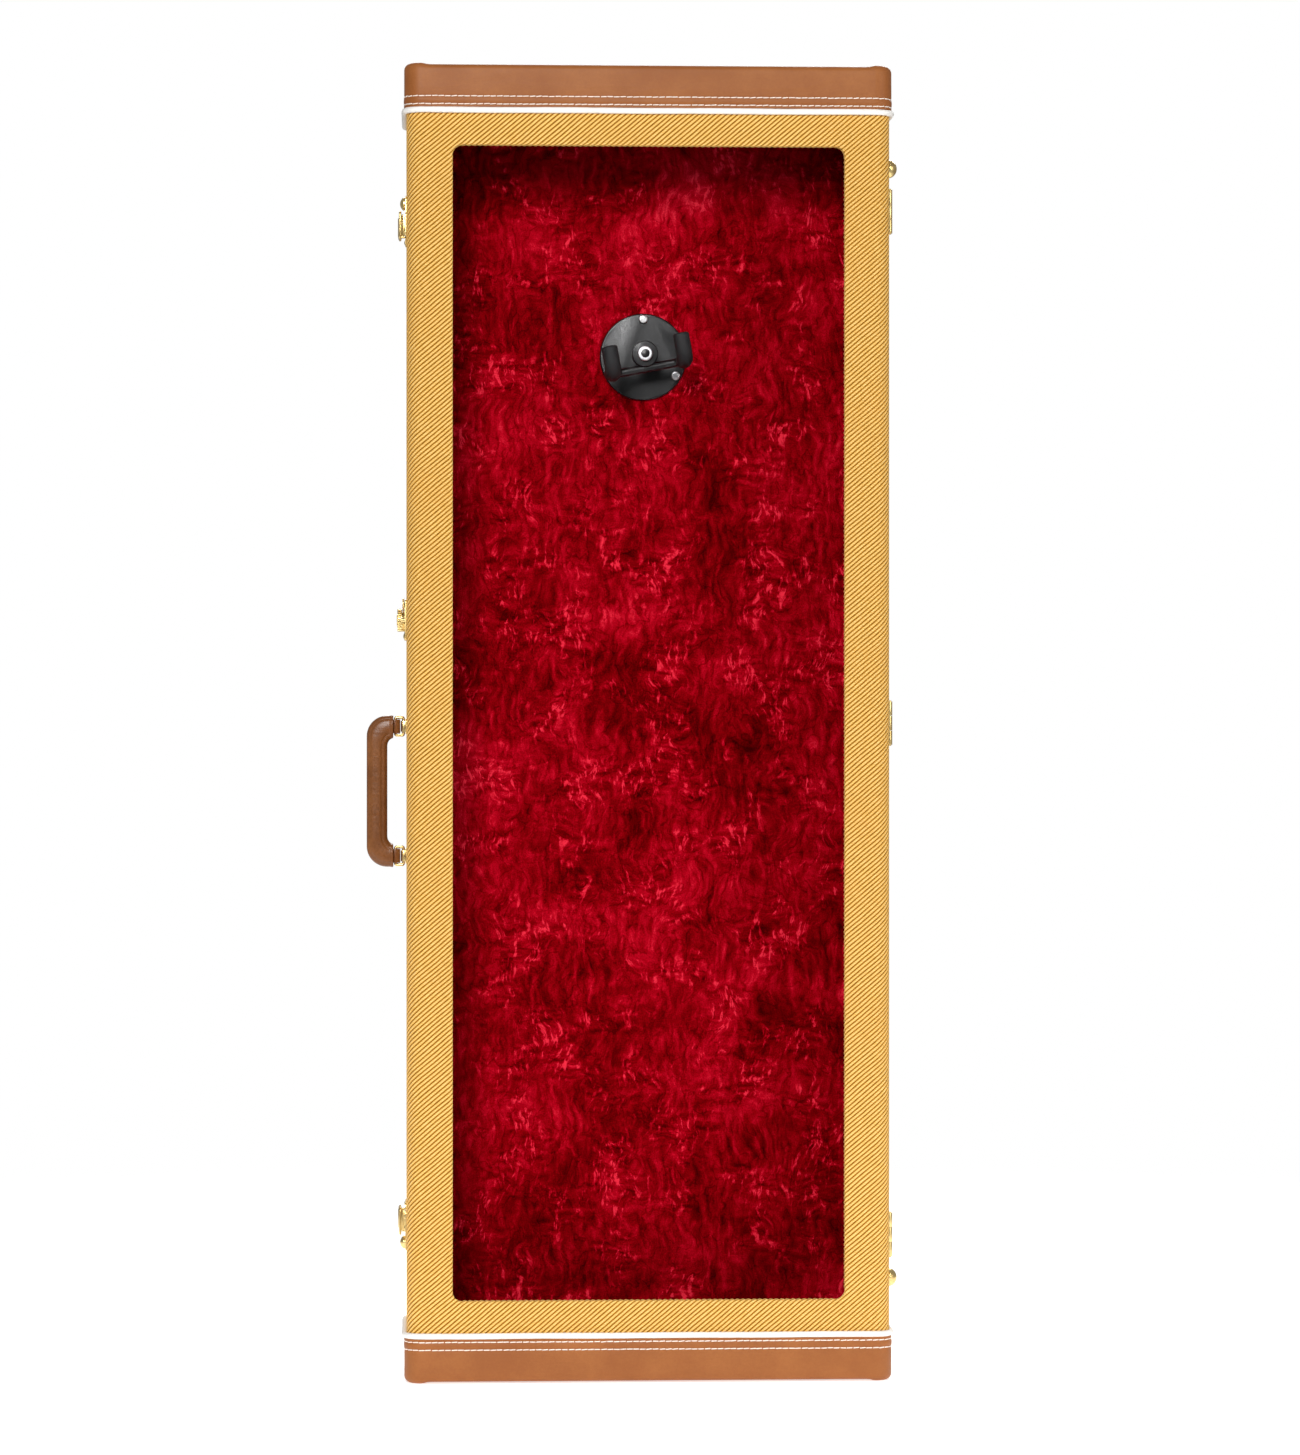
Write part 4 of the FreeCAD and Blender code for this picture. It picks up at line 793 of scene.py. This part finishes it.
def one_stitch():
    bpy.ops.mesh.primitive_cube_add(size=1)
    stitch = bpy.context.object
    stitch.scale = (5.6 * MM, 0.9 * MM, 0.95 * MM)
    bpy.ops.object.transform_apply(location=True, rotation=True, scale=True)
    slice_at(stitch, 0, (-2.1 * MM, 2.1 * MM))
    pick(stitch, "EDGE", lambda middle, way: np.abs(way[:, 0]) > 1e-4)
    bpy.ops.mesh.bevel(offset=0.28 * MM, segments=1, affect="EDGES")
    leave_edit()
    points = points_of(stitch)
    ends = np.abs(points[:, 0]) > 2.5 * MM
    points[ends] *= [0.97, 0.6, 0.62]
    points[ends, 1] += 0.22 * MM
    move_points(stitch, points)
    return stitch


def stitch_row(on_base, z, sunk):
    half_w, half_d = WRAP_W - sunk, WRAP_D - sunk
    reach = flat_reach(half_w, half_d, on_base) - 2.5 * MM
    count = round(2 * reach / STITCH_PITCH)
    row = one_stitch()
    each = len(row.data.vertices)
    apply_modifier(
        row, "ARRAY", count=count, use_relative_offset=False, use_constant_offset=True,
        constant_offset_displace=(2 * reach / count, 0, 0),
    )
    points = points_of(row).reshape(count, each, 3)
    slant = 0.05 + rng.normal(0, 0.03, (count, 1))
    middle = points[:, :, :1].mean(1, keepdims=True)[:, :, 0]
    points[:, :, 2] += (points[:, :, 0] - middle) * slant + rng.normal(0, 0.07 * MM, (count, 1)) + z
    points[:, :, 0] += rng.normal(0, 0.15 * MM, (count, 1)) - reach + reach / count
    move_points(row, points.reshape(-1, 3))
    bend_round(row, half_w, half_d, on_base)
    return row


for body, on_base in (("lid", False), ("base", True)):
    rows = []
    for d, sunk in ((5.5, 0.1), (12.6, 0.1)):
        z = PIPING_Z - d * MM
        rows += [stitch_row(on_base, z, sunk * MM), stitch_row(on_base, 2 * MIDDLE_Z - z, sunk * MM)]
    finished(join_all(rows), f"{body}_stitches", body, thread, "white_piping", smooth=60)

# %% [markdown]
# ## Crushed plush
# Crushed plush has a deep pile that was pressed flat in all directions: where it leans to the light it is
# bright red, where it leans away nearly black. Here that light and shade is painted into the colour, from
# noise
# that stands for the lean of the pile: broad clouds, two sets of streaks that take turns, bright short strokes
# of painted highlight and thin creases of painted shade, all drawn on coordinates that are pushed about. The
# same sum drives colour and relief.


# %% Plush finish
def swirl(finish, where, scale, reach):
    """Coordinates pushed about by slow noise, so that patterns drawn on them run in all directions."""
    values = {"Vector": where, "Scale": scale, "Detail": 2.0}
    push = finish.node("ShaderNodeTexNoise", {}, values, out="Color")
    away = finish.node("ShaderNodeVectorMath", {"operation": "SUBTRACT"}, {0: push, 1: (0.5, 0.5, 0.5)})
    moved = {0: away, 1: (reach,) * 3, 2: where}
    return finish.node("ShaderNodeVectorMath", {"operation": "MULTIPLY_ADD"}, moved)


def make_plush():
    plush = Finish("plush", Sheen_Weight=0.25, Sheen_Roughness=0.3, Specular_IOR_Level=0.0)
    plush.shader.inputs["Sheen Tint"].default_value = paint(255, 0, 30)
    here = swirl(plush, place_on(plush), 24.0, 0.03)

    def streaks(scale, turn, detail=3.0):
        """Noise that is stretched one way, then turned about the line of sight."""
        values = {"Vector": here, "Rotation": (0, turn, 0), "Scale": scale}
        return noise(plush, plush.node("ShaderNodeMapping", {}, values), 1.0, detail, 0.6)

    clouds = noise(plush, place_on(plush, (8, 8, 8)), 1.0, 3.0, 0.6, 0.6)
    patch = noise(plush, place_on(plush, (21, 21, 21)), 1.0, 2.0).between(0.4, 0.6)
    upright, level = streaks((150, 80, 42), 0.3, 4.0), streaks((48, 80, 140), -0.5, 4.0)
    pressed = upright * (1 - patch) + level * patch
    # Short bright strokes: painted highlight where the crushed pile catches the light.
    highlight_strokes = streaks((260, 90, 95), 0.9, 4.0).between(0.5, 0.66)
    highlight_strokes = highlight_strokes * noise(plush, here, 21.0, 3.0).between(0.44, 0.62)
    # Thin creases darken the colour as painted shade; they also dent the relief.
    crease_shade = 1 - (streaks((46, 46, 30), 1.1, 2.0) - 0.5).math("ABSOLUTE").between(0.0, 0.02)
    pile = noise(plush, place_on(plush), 900.0, 2.0)
    # The sum stands for the lean of the pile, and the ramp paints its light: the dark end is painted shade
    # where the pile leans away, the bright end painted highlight where it leans to the light.
    lean_highlight_and_shade = clouds * 0.56 + pressed * 0.66 + highlight_strokes * 0.25 - crease_shade * 0.07 + (pile - 0.5) * 0.24 - 0.10
    stops = [
        (0.30, paint(60, 0, 2)),
        (0.42, paint(104, 0, 4)),
        (0.52, paint(142, 1, 12)),
        (0.62, paint(184, 6, 30)),
        (0.76, paint(238, 44, 66)),
    ]
    colour = plush.node("ShaderNodeValToRGB", {"stops": stops}, {0: lean_highlight_and_shade})
    normal = relief(plush, pile, 0.10 * MM, 0.4, relief(plush, lean_highlight_and_shade, 5 * MM, 0.45))
    return plush.feed(Base_Color=colour, Roughness=0.85 - pressed * 0.2, Normal=normal)


plush = make_plush()

# %% [markdown]
# ## The padded back
# The back of the case is a foam board under plush, glued at the back and free to swell in front. The board
# starts a little thin, is remeshed into small even faces and inflated as cloth, pinned where it is glued, and
# no point may travel more than a few millimetres. It is then stretched to fill its place between the side
# linings, and round the hanger's plate the plush is pressed down.

# %% Inflate the pad
pad_lo, pad_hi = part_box("back_pad")
bpy.ops.mesh.primitive_cube_add(size=1, location=(pad_lo + pad_hi) / 2 + Vector((0, 1.0 * MM, 0)))
pad = bpy.context.object
pad.scale = pad_hi - pad_lo - Vector((1, 2, 1)) * MM
bpy.ops.object.transform_apply(location=True, rotation=True, scale=True)
pick(pad, "EDGE", lambda middle, way: middle[:, 1] < pad_lo.y + 3 * MM)
bpy.ops.mesh.bevel(offset=3.5 * MM, segments=4, affect="EDGES")
leave_edit()
voxel = pad.modifiers.new("Remesh", "REMESH")
voxel.mode, voxel.voxel_size = "VOXEL", 5.5 * MM
only(pad)
bpy.ops.object.modifier_apply(modifier=voxel.name)
start = points_of(pad)
glued = pad.vertex_groups.new(name="glued")
glued.add([int(i) for i in np.nonzero(start[:, 1] > pad_hi.y - 4 * MM)[0]], 1.0, "REPLACE")


def plump(piece, most):
    """Swell as a cloth bag for 20 frames, then keep at most this much of each point's travel."""
    scene = bpy.context.scene
    cloth = piece.modifiers.new("Cloth", "CLOTH")
    cloth.settings.use_pressure = True
    cloth.settings.uniform_pressure_force = 4
    cloth.settings.vertex_group_mass = "glued"
    cloth.settings.effector_weights.gravity = 0
    scene.frame_start, scene.frame_end = 1, 20
    for step in range(1, 21):
        scene.frame_set(step)
    before = points_of(piece)
    shown = piece.evaluated_get(bpy.context.evaluated_depsgraph_get())
    travel = read(shown.data.vertices, "co", 3) - before
    length = np.linalg.norm(travel, axis=1)
    only(piece)
    bpy.ops.object.modifier_apply(modifier=cloth.name)
    move_points(piece, before + travel * np.minimum(1, most / np.maximum(length, 1e-9))[:, None])
    print("pad swelled by up to", round(length.max() / MM, 1), "mm, kept", round(most / MM, 1))


plump(pad, 2.4 * MM)

# %% Crush the pile and press it under the plate
apply_modifier(pad, "SUBSURF", levels=1, render_levels=1)
points = points_of(pad)
pad_middle = (pad_lo + pad_hi) / 2
for axis in (0, 2):
    reach = points[:, axis] - pad_middle[axis]
    points[:, axis] = pad_middle[axis] + reach * (pad_hi[axis] - pad_middle[axis]) / np.abs(reach).max()
front = np.clip((pad_hi.y - 5 * MM - points[:, 1]) / (3 * MM), 0, 1)
x, z = points[:, 0] / MM, points[:, 2] / MM
waves = np.zeros(len(points))
for _ in range(26):
    length = rng.uniform(16, 75)
    turn = rng.normal(0, 0.5)
    phase = rng.uniform(0, 6.3, 2)
    bend = 1.4 * np.sin(z / (length * 0.9) + phase[1])
    across = x * math.cos(turn) + z * math.sin(turn) * 0.45
    waves += np.sin(2 * np.pi * across / length + phase[0] + bend) * (length / 75) ** 0.5
plate_lo, plate_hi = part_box("hanger_plate")
plate_middle, plate_r = (plate_lo + plate_hi) / 2, (plate_hi.x - plate_lo.x) / 2
gap = np.hypot(points[:, 0], points[:, 2] - plate_middle.z) - plate_r
pressed = np.clip(1 - gap / (14 * MM), 0, 1) ** 2
points[:, 1] += front * (0.22 * MM * waves * (1 - pressed))
deepest = pad_lo.y + 0.4 * MM * pressed - 1.6 * MM * (1 - pressed)
points[:, 1] = np.where(pressed > 0, np.maximum(points[:, 1], deepest), points[:, 1])
edge_x = pad_hi.x - np.abs(points[:, 0])
edge_z = np.minimum(points[:, 2] - pad_lo.z, pad_hi.z - points[:, 2])
near = np.clip(np.minimum(edge_x, edge_z) / (22 * MM), 0, 1)
points[:, 1] += front * 1.6 * MM * (1 - near) ** 2
move_points(pad, points)
finished(pad, "back_pad_plush", "base", plush, "plush", "back_pad", smooth=180)

# %% [markdown]
# ## Plush lining of the sides
# The sides are lined with the same plush on thin card. A box without its front and back is the shape; it is
# cut into a grid, given the same uneven crush and then its thickness, to the inside.

# %% Line the base and the lid
def plush_ring(node):
    lo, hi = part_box(node)
    bpy.ops.mesh.primitive_cube_add(size=1, location=(lo + hi) / 2)
    ring = bpy.context.object
    ring.scale = hi - lo
    bpy.ops.object.transform_apply(location=True, rotation=True, scale=True)
    pick(ring, "FACE", lambda middle, way: np.abs(way[:, 1]) > 0.9)
    bpy.ops.mesh.delete(type="FACE")
    leave_edit()
    slice_at(ring, 2, np.arange(lo.z + 8 * MM, hi.z - 4 * MM, 11.5 * MM))
    slice_at(ring, 0, np.arange(lo.x + 8 * MM, hi.x - 4 * MM, 11.5 * MM))
    slice_at(ring, 1, np.linspace(lo.y, hi.y, 7)[1:-1])
    points = points_of(ring)
    x, y, z = points.T / MM
    wave = np.sin(z / 9.7 + 1.7 * np.sin(y / 17 + x / 31)) + np.sin(x / 8.3 + y / 11 + 1.3 * np.sin(z / 23))
    push_out(ring, -0.13 * MM * (wave + 2))
    apply_modifier(ring, "SOLIDIFY", thickness=1.5 * MM, offset=-1)
    return ring


finished(plush_ring("base_liner"), "base_liner_plush", "base", plush, "plush", "base_liner", smooth=60)
finished(plush_ring("lid_liner"), "lid_liner_plush", "lid", plush, "plush", "lid_liner", smooth=60)

# %% [markdown]
# ## Metal, rubber, enamel and wood
# Plated brass is a metal whose colour dulls a little in patches and whose roughness carries fine wiping
# marks. Rubber and enamel differ mostly in gloss. Plywood shows long grain, stretched along the board.


# %% Hard finishes
def make_metal(name, clean, dull, smoothness):
    metal = Finish(name, Metallic=1.0)
    tarnish = noise(metal, place_on(metal), 95.0, 4.0, 0.65)
    wiping = noise(metal, place_on(metal, (700, 700, 60)), 1.0, 3.0, 0.6)
    specks = noise(metal, place_on(metal), 900.0, 2.0)
    colour = tint(metal, clean, dull, tarnish.between(0.45, 0.8))
    rough = smoothness + tarnish * 0.12 + wiping * 0.12
    marks = relief(metal, wiping + specks, 0.03 * MM, 0.5)
    return metal.feed(Base_Color=colour, Roughness=rough, Normal=marks)


def make_dark(name, colour, worn, gloss, depth, scale):
    dark = Finish(name, Specular_IOR_Level=0.5)
    wear = noise(dark, place_on(dark), 60.0, 4.0, 0.65)
    skin = noise(dark, place_on(dark), scale, 3.0, 0.6)
    mixed = tint(dark, colour, worn, wear.between(0.5, 0.85))
    return dark.feed(Base_Color=mixed, Roughness=gloss + wear * 0.16, Normal=relief(dark, skin, depth, 0.6))


def make_plywood():
    wood = Finish("plywood", Specular_IOR_Level=0.35)
    grain = noise(wood, place_on(wood, (160, 160, 5)), 1.0, 5.0, 0.65, 0.8)
    pores = noise(wood, place_on(wood, (900, 900, 45)), 1.0, 2.0)
    layers = noise(wood, place_on(wood, (620, 40, 3)), 1.0, 1.0)
    colour = tint(wood, paint(201, 160, 110), paint(232, 200, 152), grain.between(0.35, 0.7))
    colour = tint(wood, colour, paint(150, 106, 66), layers.between(0.55, 0.7) * 0.35)
    return wood.feed(
        Base_Color=colour, Roughness=0.6 + pores * 0.2, Normal=relief(wood, pores, 0.12 * MM, 0.6)
    )


def make_pane():
    """Clear sheet: see through it, except for what it mirrors at a slant."""
    clear = Finish("clear_pane")
    smear = noise(clear, place_on(clear), 12.0, 3.0, 0.6)
    share = clear.node("ShaderNodeFresnel", {}, {"IOR": 1.35}).between(0.04, 0.6) * (smear * 0.2 + 0.4)
    through = clear.node("ShaderNodeBsdfTransparent")
    mirror = clear.node("ShaderNodeBsdfGlossy", {}, {"Roughness": 0.03})
    clear.surface(clear.node("ShaderNodeMixShader", {}, {0: share, 1: through, 2: mirror}))
    return clear


brass = make_metal("brass", paint(238, 210, 144), paint(188, 150, 84), 0.2)
steel = make_metal("steel_screws", paint(200, 200, 202), paint(140, 138, 134), 0.28)
rubber = make_dark("black_rubber", paint(22, 22, 24), paint(44, 43, 42), 0.62, 0.15 * MM, 1100.0)
enamel = make_dark("black_metal", paint(12, 12, 14), paint(32, 32, 34), 0.24, 0.10 * MM, 380.0)
trim_strip = make_dark("rim_trim", paint(40, 18, 14), paint(62, 34, 26), 0.42, 0.15 * MM, 700.0)
plywood, pane = make_plywood(), make_pane()

# %% [markdown]
# ## CAD pieces that stay
# Where the CAD shape is already right and hard-edged, as for boards and the pane, the node itself stays and
# only gets a finish.

# %% Dress the boards, the strips and the pane
STAYING = {
    plywood: [
        "base_board_left", "base_board_right", "base_board_top", "base_board_bottom", "back_panel",
        "lid_board_left", "lid_board_right", "lid_board_top", "lid_board_bottom", "lid_front_panel",
        "pane_retainers",
    ],
    trim_strip: ["rim_valance"],
    pane: ["window_pane"],
}
for finish, names in STAYING.items():
    for name in names:
        nodes[name].data.materials.clear()
        nodes[name].data.materials.append(finish.material)
print(sum(len(names) for names in STAYING.values()), "CAD nodes keep their shape")

# %% [markdown]
# ## Softened edges
# Stamped and cast pieces have no knife edges; a tiny bevel catches the light as a real edge does. The CAD mesh
# is loose triangles, so a copy is merged, its flat triangles are joined into whole faces, and where a width is
# given every sharp edge gets a bevel.


# %% Softened copies of hard pieces
def softened(node, width, body, finish, slot, segments=2, sharp=28):
    piece = bpy.data.objects.new(node + "_made", nodes[node].data.copy())
    bpy.context.scene.collection.objects.link(piece)
    only(piece)
    bpy.ops.object.mode_set(mode="EDIT")
    bpy.ops.mesh.select_all(action="SELECT")
    bpy.ops.mesh.remove_doubles(threshold=2e-6)
    bpy.ops.mesh.dissolve_limited(angle_limit=math.radians(1.2))
    leave_edit()
    if width:
        apply_modifier(
            piece, "BEVEL", width=width, segments=segments, limit_method="ANGLE",
            angle_limit=math.radians(sharp), use_clamp_overlap=True,
        )
    return finished(piece, node + "_made", body, finish, slot, node, smooth=sharp + 8)


BRASS_PIECES = (  # how much the edges are softened, in millimetres, and the body that carries the piece
    ("hinge_base_leaves", 0.25, "base"), ("hinge_lid_leaves", 0.25, "lid"), ("hinge_pins", 0.2, "base"),
    ("latch_plate_lower", 0.25, "base"), ("latch_plate_upper", 0.25, "base"), ("latch_pins", 0.2, "base"),
    ("latch_keepers", 0.25, "lid"),
    ("latch_lever_lower", 0.3, "lower_lever"), ("latch_lever_upper", 0.3, "upper_lever"),
    ("latch_bail_lower", 0, "lower_bail"), ("latch_bail_upper", 0, "upper_bail"),
    ("lock_plate", 0.25, "base"), ("lock_boss", 0.2, "base"), ("lock_strike", 0.25, "lid"),
    ("lock_plug", 0.2, "lock_key"), ("lock_hook", 0.25, "lock_key"),
    ("handle_brackets", 0.25, "base"), ("handle_rings", 0, "handle"),
    ("base_rivets", 0, "base"), ("lid_rivets", 0, "lid"),
    ("base_feet", 0, "base"), ("lid_feet", 0, "lid"), ("wall_inserts", 0.2, "base"),
)
for node, width, body in BRASS_PIECES:
    softened(node, width * MM, body, brass, "brass")
softened("hanger_plate", 0, "base", enamel, "black_metal")
softened("hanger_stem", 0.4 * MM, "base", enamel, "black_metal")
softened("hanger_nut", 0, "base", steel, "steel_screws")
softened("yoke_frame", 0, "yoke", enamel, "black_metal")
softened("yoke_sleeves", 0, "yoke", rubber, "black_rubber")
softened("back_bumpers", 0.5 * MM, "base", rubber, "black_rubber")

# %% [markdown]
# ## Screws
# A cross recess is what makes a screw read as a screw. One head is a short cylinder with a rounded rim and a
# cross sunk by a boolean with two crossed bars; copies stand where the CAD has its screws.


# %% Cross-headed screws
def screw_head(radius, height):
    """A head with its face towards -Y, its underside on y = 0."""
    bpy.ops.mesh.primitive_cylinder_add(
        vertices=28, radius=radius, depth=height, rotation=(math.pi / 2, 0, 0), location=(0, -height / 2, 0)
    )
    head = bpy.context.object
    bpy.ops.object.transform_apply(location=True, rotation=True, scale=True)
    pick(head, "EDGE", lambda middle, way: (middle[:, 1] < -height * 0.99) & (np.abs(way[:, 1]) < 1e-7))
    bpy.ops.mesh.bevel(offset=height * 0.55, segments=4, affect="EDGES")
    leave_edit()
    for turn in (0, math.pi / 2):
        bpy.ops.mesh.primitive_cube_add(size=1, location=(0, -height, 0), rotation=(0, turn, 0))
        bar = bpy.context.object
        bar.scale = (radius * 1.15, height * 1.1, radius * 0.24)
        bpy.ops.object.transform_apply(location=True, rotation=True, scale=True)
        apply_modifier(head, "BOOLEAN", object=bar, operation="DIFFERENCE", solver="EXACT")
        bpy.data.objects.remove(bar)
    return head


def screws(node, body, radius, height, places, y):
    head = screw_head(radius, height)
    made = []
    for x, z in places:
        only(head)
        bpy.ops.object.duplicate()
        copy = bpy.context.object
        turn = rng.uniform(0, 1.5)
        points = points_of(copy)
        spun = np.stack([
            points[:, 0] * math.cos(turn) + points[:, 2] * math.sin(turn) + x,
            points[:, 1] + y,
            points[:, 2] * math.cos(turn) - points[:, 0] * math.sin(turn) + z,
        ], 1)
        if node == "retainer_screws":
            spun[:, 1] = 2 * y - spun[:, 1]
            spun[:, 0] = 2 * x - spun[:, 0]
        move_points(copy, spun)
        made.append(copy)
    bpy.data.objects.remove(head)
    return finished(join_all(made), node + "_made", body, steel, "steel_screws", node, smooth=40)


PANE_SCREW_R, PANE_SCREW_HEIGHT = 3.4 * MM, 1.8 * MM
HANGER_SCREW_R, HANGER_SCREW_HEIGHT, HANGER_SCREW_CIRCLE = 4.2 * MM, 2.4 * MM, 35 * MM
screw_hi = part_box("retainer_screws")[1]
screw_x, screw_z = screw_hi.x - PANE_SCREW_R, screw_hi.z - MIDDLE_Z - PANE_SCREW_R
step = 2 * WINDOW_Z / 5
strip_places = [(side * screw_x, MIDDLE_Z - WINDOW_Z + i * step) for side in (-1, 1) for i in range(6)]
for end in (-1, 1):
    strip_places += [(x, MIDDLE_Z + end * screw_z) for x in (-WINDOW_X / 2, 0.0, WINDOW_X / 2)]
screws(
    "retainer_screws", "lid", PANE_SCREW_R, PANE_SCREW_HEIGHT, strip_places, screw_hi.y - PANE_SCREW_HEIGHT
)
ring_places = []
for angle in np.radians([90, 210, 330]):
    x, z = HANGER_SCREW_CIRCLE * math.cos(angle), HANGER_SCREW_CIRCLE * math.sin(angle)
    ring_places.append((x, plate_middle.z + z))
screws("hanger_screws", "base", HANGER_SCREW_R, HANGER_SCREW_HEIGHT, ring_places, plate_lo.y)

# %% [markdown]
# ## The handle
# The grip is leather moulded over a core: broad and full in the middle, with a seam that runs round it near
# the finger side and another near the outside. The CAD grip is remeshed finely, smoothed like worn leather,
# and the seams are pressed in at a set distance from its outlines.

# %% Grip
grip_lo, grip_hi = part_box("handle_grip")
GRIP_MIDDLE = (grip_lo + grip_hi) / 2
grip = bpy.data.objects.new("grip", nodes["handle_grip"].data.copy())
bpy.context.scene.collection.objects.link(grip)
only(grip)
bpy.ops.object.mode_set(mode="EDIT")
bpy.ops.mesh.select_all(action="SELECT")
bpy.ops.mesh.remove_doubles(threshold=2e-6)
leave_edit()
voxel = grip.modifiers.new("Remesh", "REMESH")
voxel.mode, voxel.voxel_size = "VOXEL", 0.75 * MM
bpy.ops.object.modifier_apply(modifier=voxel.name)
apply_modifier(grip, "SMOOTH", factor=0.5, iterations=7)
GRIP_OUTER, GRIP_OUTER_HALF, GRIP_OUTER_R = 37, 70, 19  # millimetres, as in the CAD model
GRIP_INNER, GRIP_INNER_HALF, GRIP_INNER_R = 18, 50, 8


def from_block(across, along, half_along, radius):
    """Distance outside a rounded block that reaches far towards the case."""
    dx, dz = across + radius, np.abs(along) - half_along + radius
    return np.hypot(np.maximum(dx, 0), np.maximum(dz, 0)) + np.minimum(np.maximum(dx, dz), 0) - radius


def dip(distance, centre, half_width):
    return np.exp(-(((distance - centre) / half_width) ** 2))


points = points_of(grip)
out = -points[:, 0] / MM - cloth_hi.x / MM
along = (points[:, 2] - GRIP_MIDDLE.z) / MM
wide = (points[:, 1] - GRIP_MIDDLE.y) / MM
inner = from_block(out - GRIP_INNER, along, GRIP_INNER_HALF, GRIP_INNER_R)
outer = -from_block(out - GRIP_OUTER, along, GRIP_OUTER_HALF, GRIP_OUTER_R)
flank = np.clip((np.abs(wide) - 5) / 5, 0, 1)
leg = np.clip((out - 13.5) / 5, 0, 1)
full = 1 - 0.12 * np.clip(np.abs((inner - 9.5) / 9.5), 0, 1.3) ** 2
press = 1.15 * dip(inner, 4.9, 0.75) * leg - 0.45 * dip(inner, 2.6, 1.3) * leg
press += 0.55 * dip(outer, 3.4, 0.7)
wide = wide * full - np.sign(wide) * flank * press
flare = 0.7 * np.clip((16 - out) / 3.0, 0, 1)
wide += np.sign(wide) * flare * np.clip(np.abs(wide) / 6, 0, 1)
along += np.sign(along) * flare * 0.6 * np.clip((np.abs(along) - 58) / 4, -1, 1)
points[:, 1], points[:, 2] = GRIP_MIDDLE.y + wide * MM, GRIP_MIDDLE.z + along * MM
move_points(grip, points)
handle_leather = make_leathercloth("handle_leather", paint(108, 64, 32), paint(152, 98, 56), 0.24)
finished(grip, "handle_grip_leather", "handle", handle_leather, "handle_leather", "handle_grip", smooth=180)
softened("handle_tabs", 0.9 * MM, "handle", handle_leather, "handle_leather", segments=3)

# %% [markdown]
# ## Floor and light
# A studio shot: a white floor that glows a little, as a lit table does, a large soft key light above the
# camera, a weaker fill from the right, a light from behind and a pale surround. The surround is darker
# towards the camera, so that brass shows both light and dark.

# %% Floor
bpy.ops.mesh.primitive_circle_add(vertices=96, radius=2.2, fill_type="NGON", location=(0, 0, -0.2 * MM))
floor = bpy.context.object
floor.name = "floor"
floor_paint = Finish("floor_paint", Specular_IOR_Level=0.1, Roughness=0.9)
floor_paint.shader.inputs["Emission Color"].default_value = (1, 1, 1, 1)
floor_paint.shader.inputs["Emission Strength"].default_value = 0.6
here = place_on(floor_paint)
even = noise(floor_paint, here, 2.0, 2.0)
far = floor_paint.node("ShaderNodeVectorMath", {"operation": "LENGTH"}, {0: here}, out="Value")
floor_paint.feed(
    Base_Color=tint(floor_paint, paint(252, 252, 252), paint(248, 248, 248), even),
    Alpha=1 - far.between(0.5, 2.1),
)
floor.data.materials.append(floor_paint.material)


# %% Lights
def area_light(name, place, target, size, watts, colour=(1, 1, 1)):
    data = bpy.data.lights.new(name, "AREA")
    data.shape, data.size, data.size_y = "RECTANGLE", size[0], size[1]
    data.energy, data.color = watts, colour
    light = bpy.data.objects.new(name, data)
    bpy.context.scene.collection.objects.link(light)
    light.location = place
    light.rotation_mode = "QUATERNION"
    light.rotation_quaternion = (Vector(target) - Vector(place)).to_track_quat("-Z", "Y")


area_light("key", (-0.8, -3.7, 2.2), (0, 0, 0.65), (1.0, 1.4), 118)
area_light("fill", (2.5, -2.4, 1.3), (0, 0, 0.6), (1.6, 2.0), 34)
area_light("back", (0.4, 2.6, 2.4), (0, 0, 0.6), (2.0, 1.2), 85)

world = bpy.data.worlds.new("studio")
bpy.context.scene.world = world
studio = Graph(world)
way = studio.node("ShaderNodeTexCoord", out="Generated")
front = studio.node("ShaderNodeSeparateXYZ", {}, {0: way}, out="Y")
dimmed = front.between(-1.0, -0.5) * 0.20 + 0.10
lit = studio.node("ShaderNodeBackground", {}, {"Color": (1, 1, 1, 1), "Strength": dimmed})
shown = studio.node("ShaderNodeBackground", {}, {"Color": (1, 1, 1, 1), "Strength": 1.0})
seen = studio.node("ShaderNodeLightPath", out="Is Camera Ray")
studio.surface(studio.node("ShaderNodeMixShader", {}, {0: seen, 1: lit, 2: shown}))
bpy.context.scene.view_settings.view_transform = "Standard"
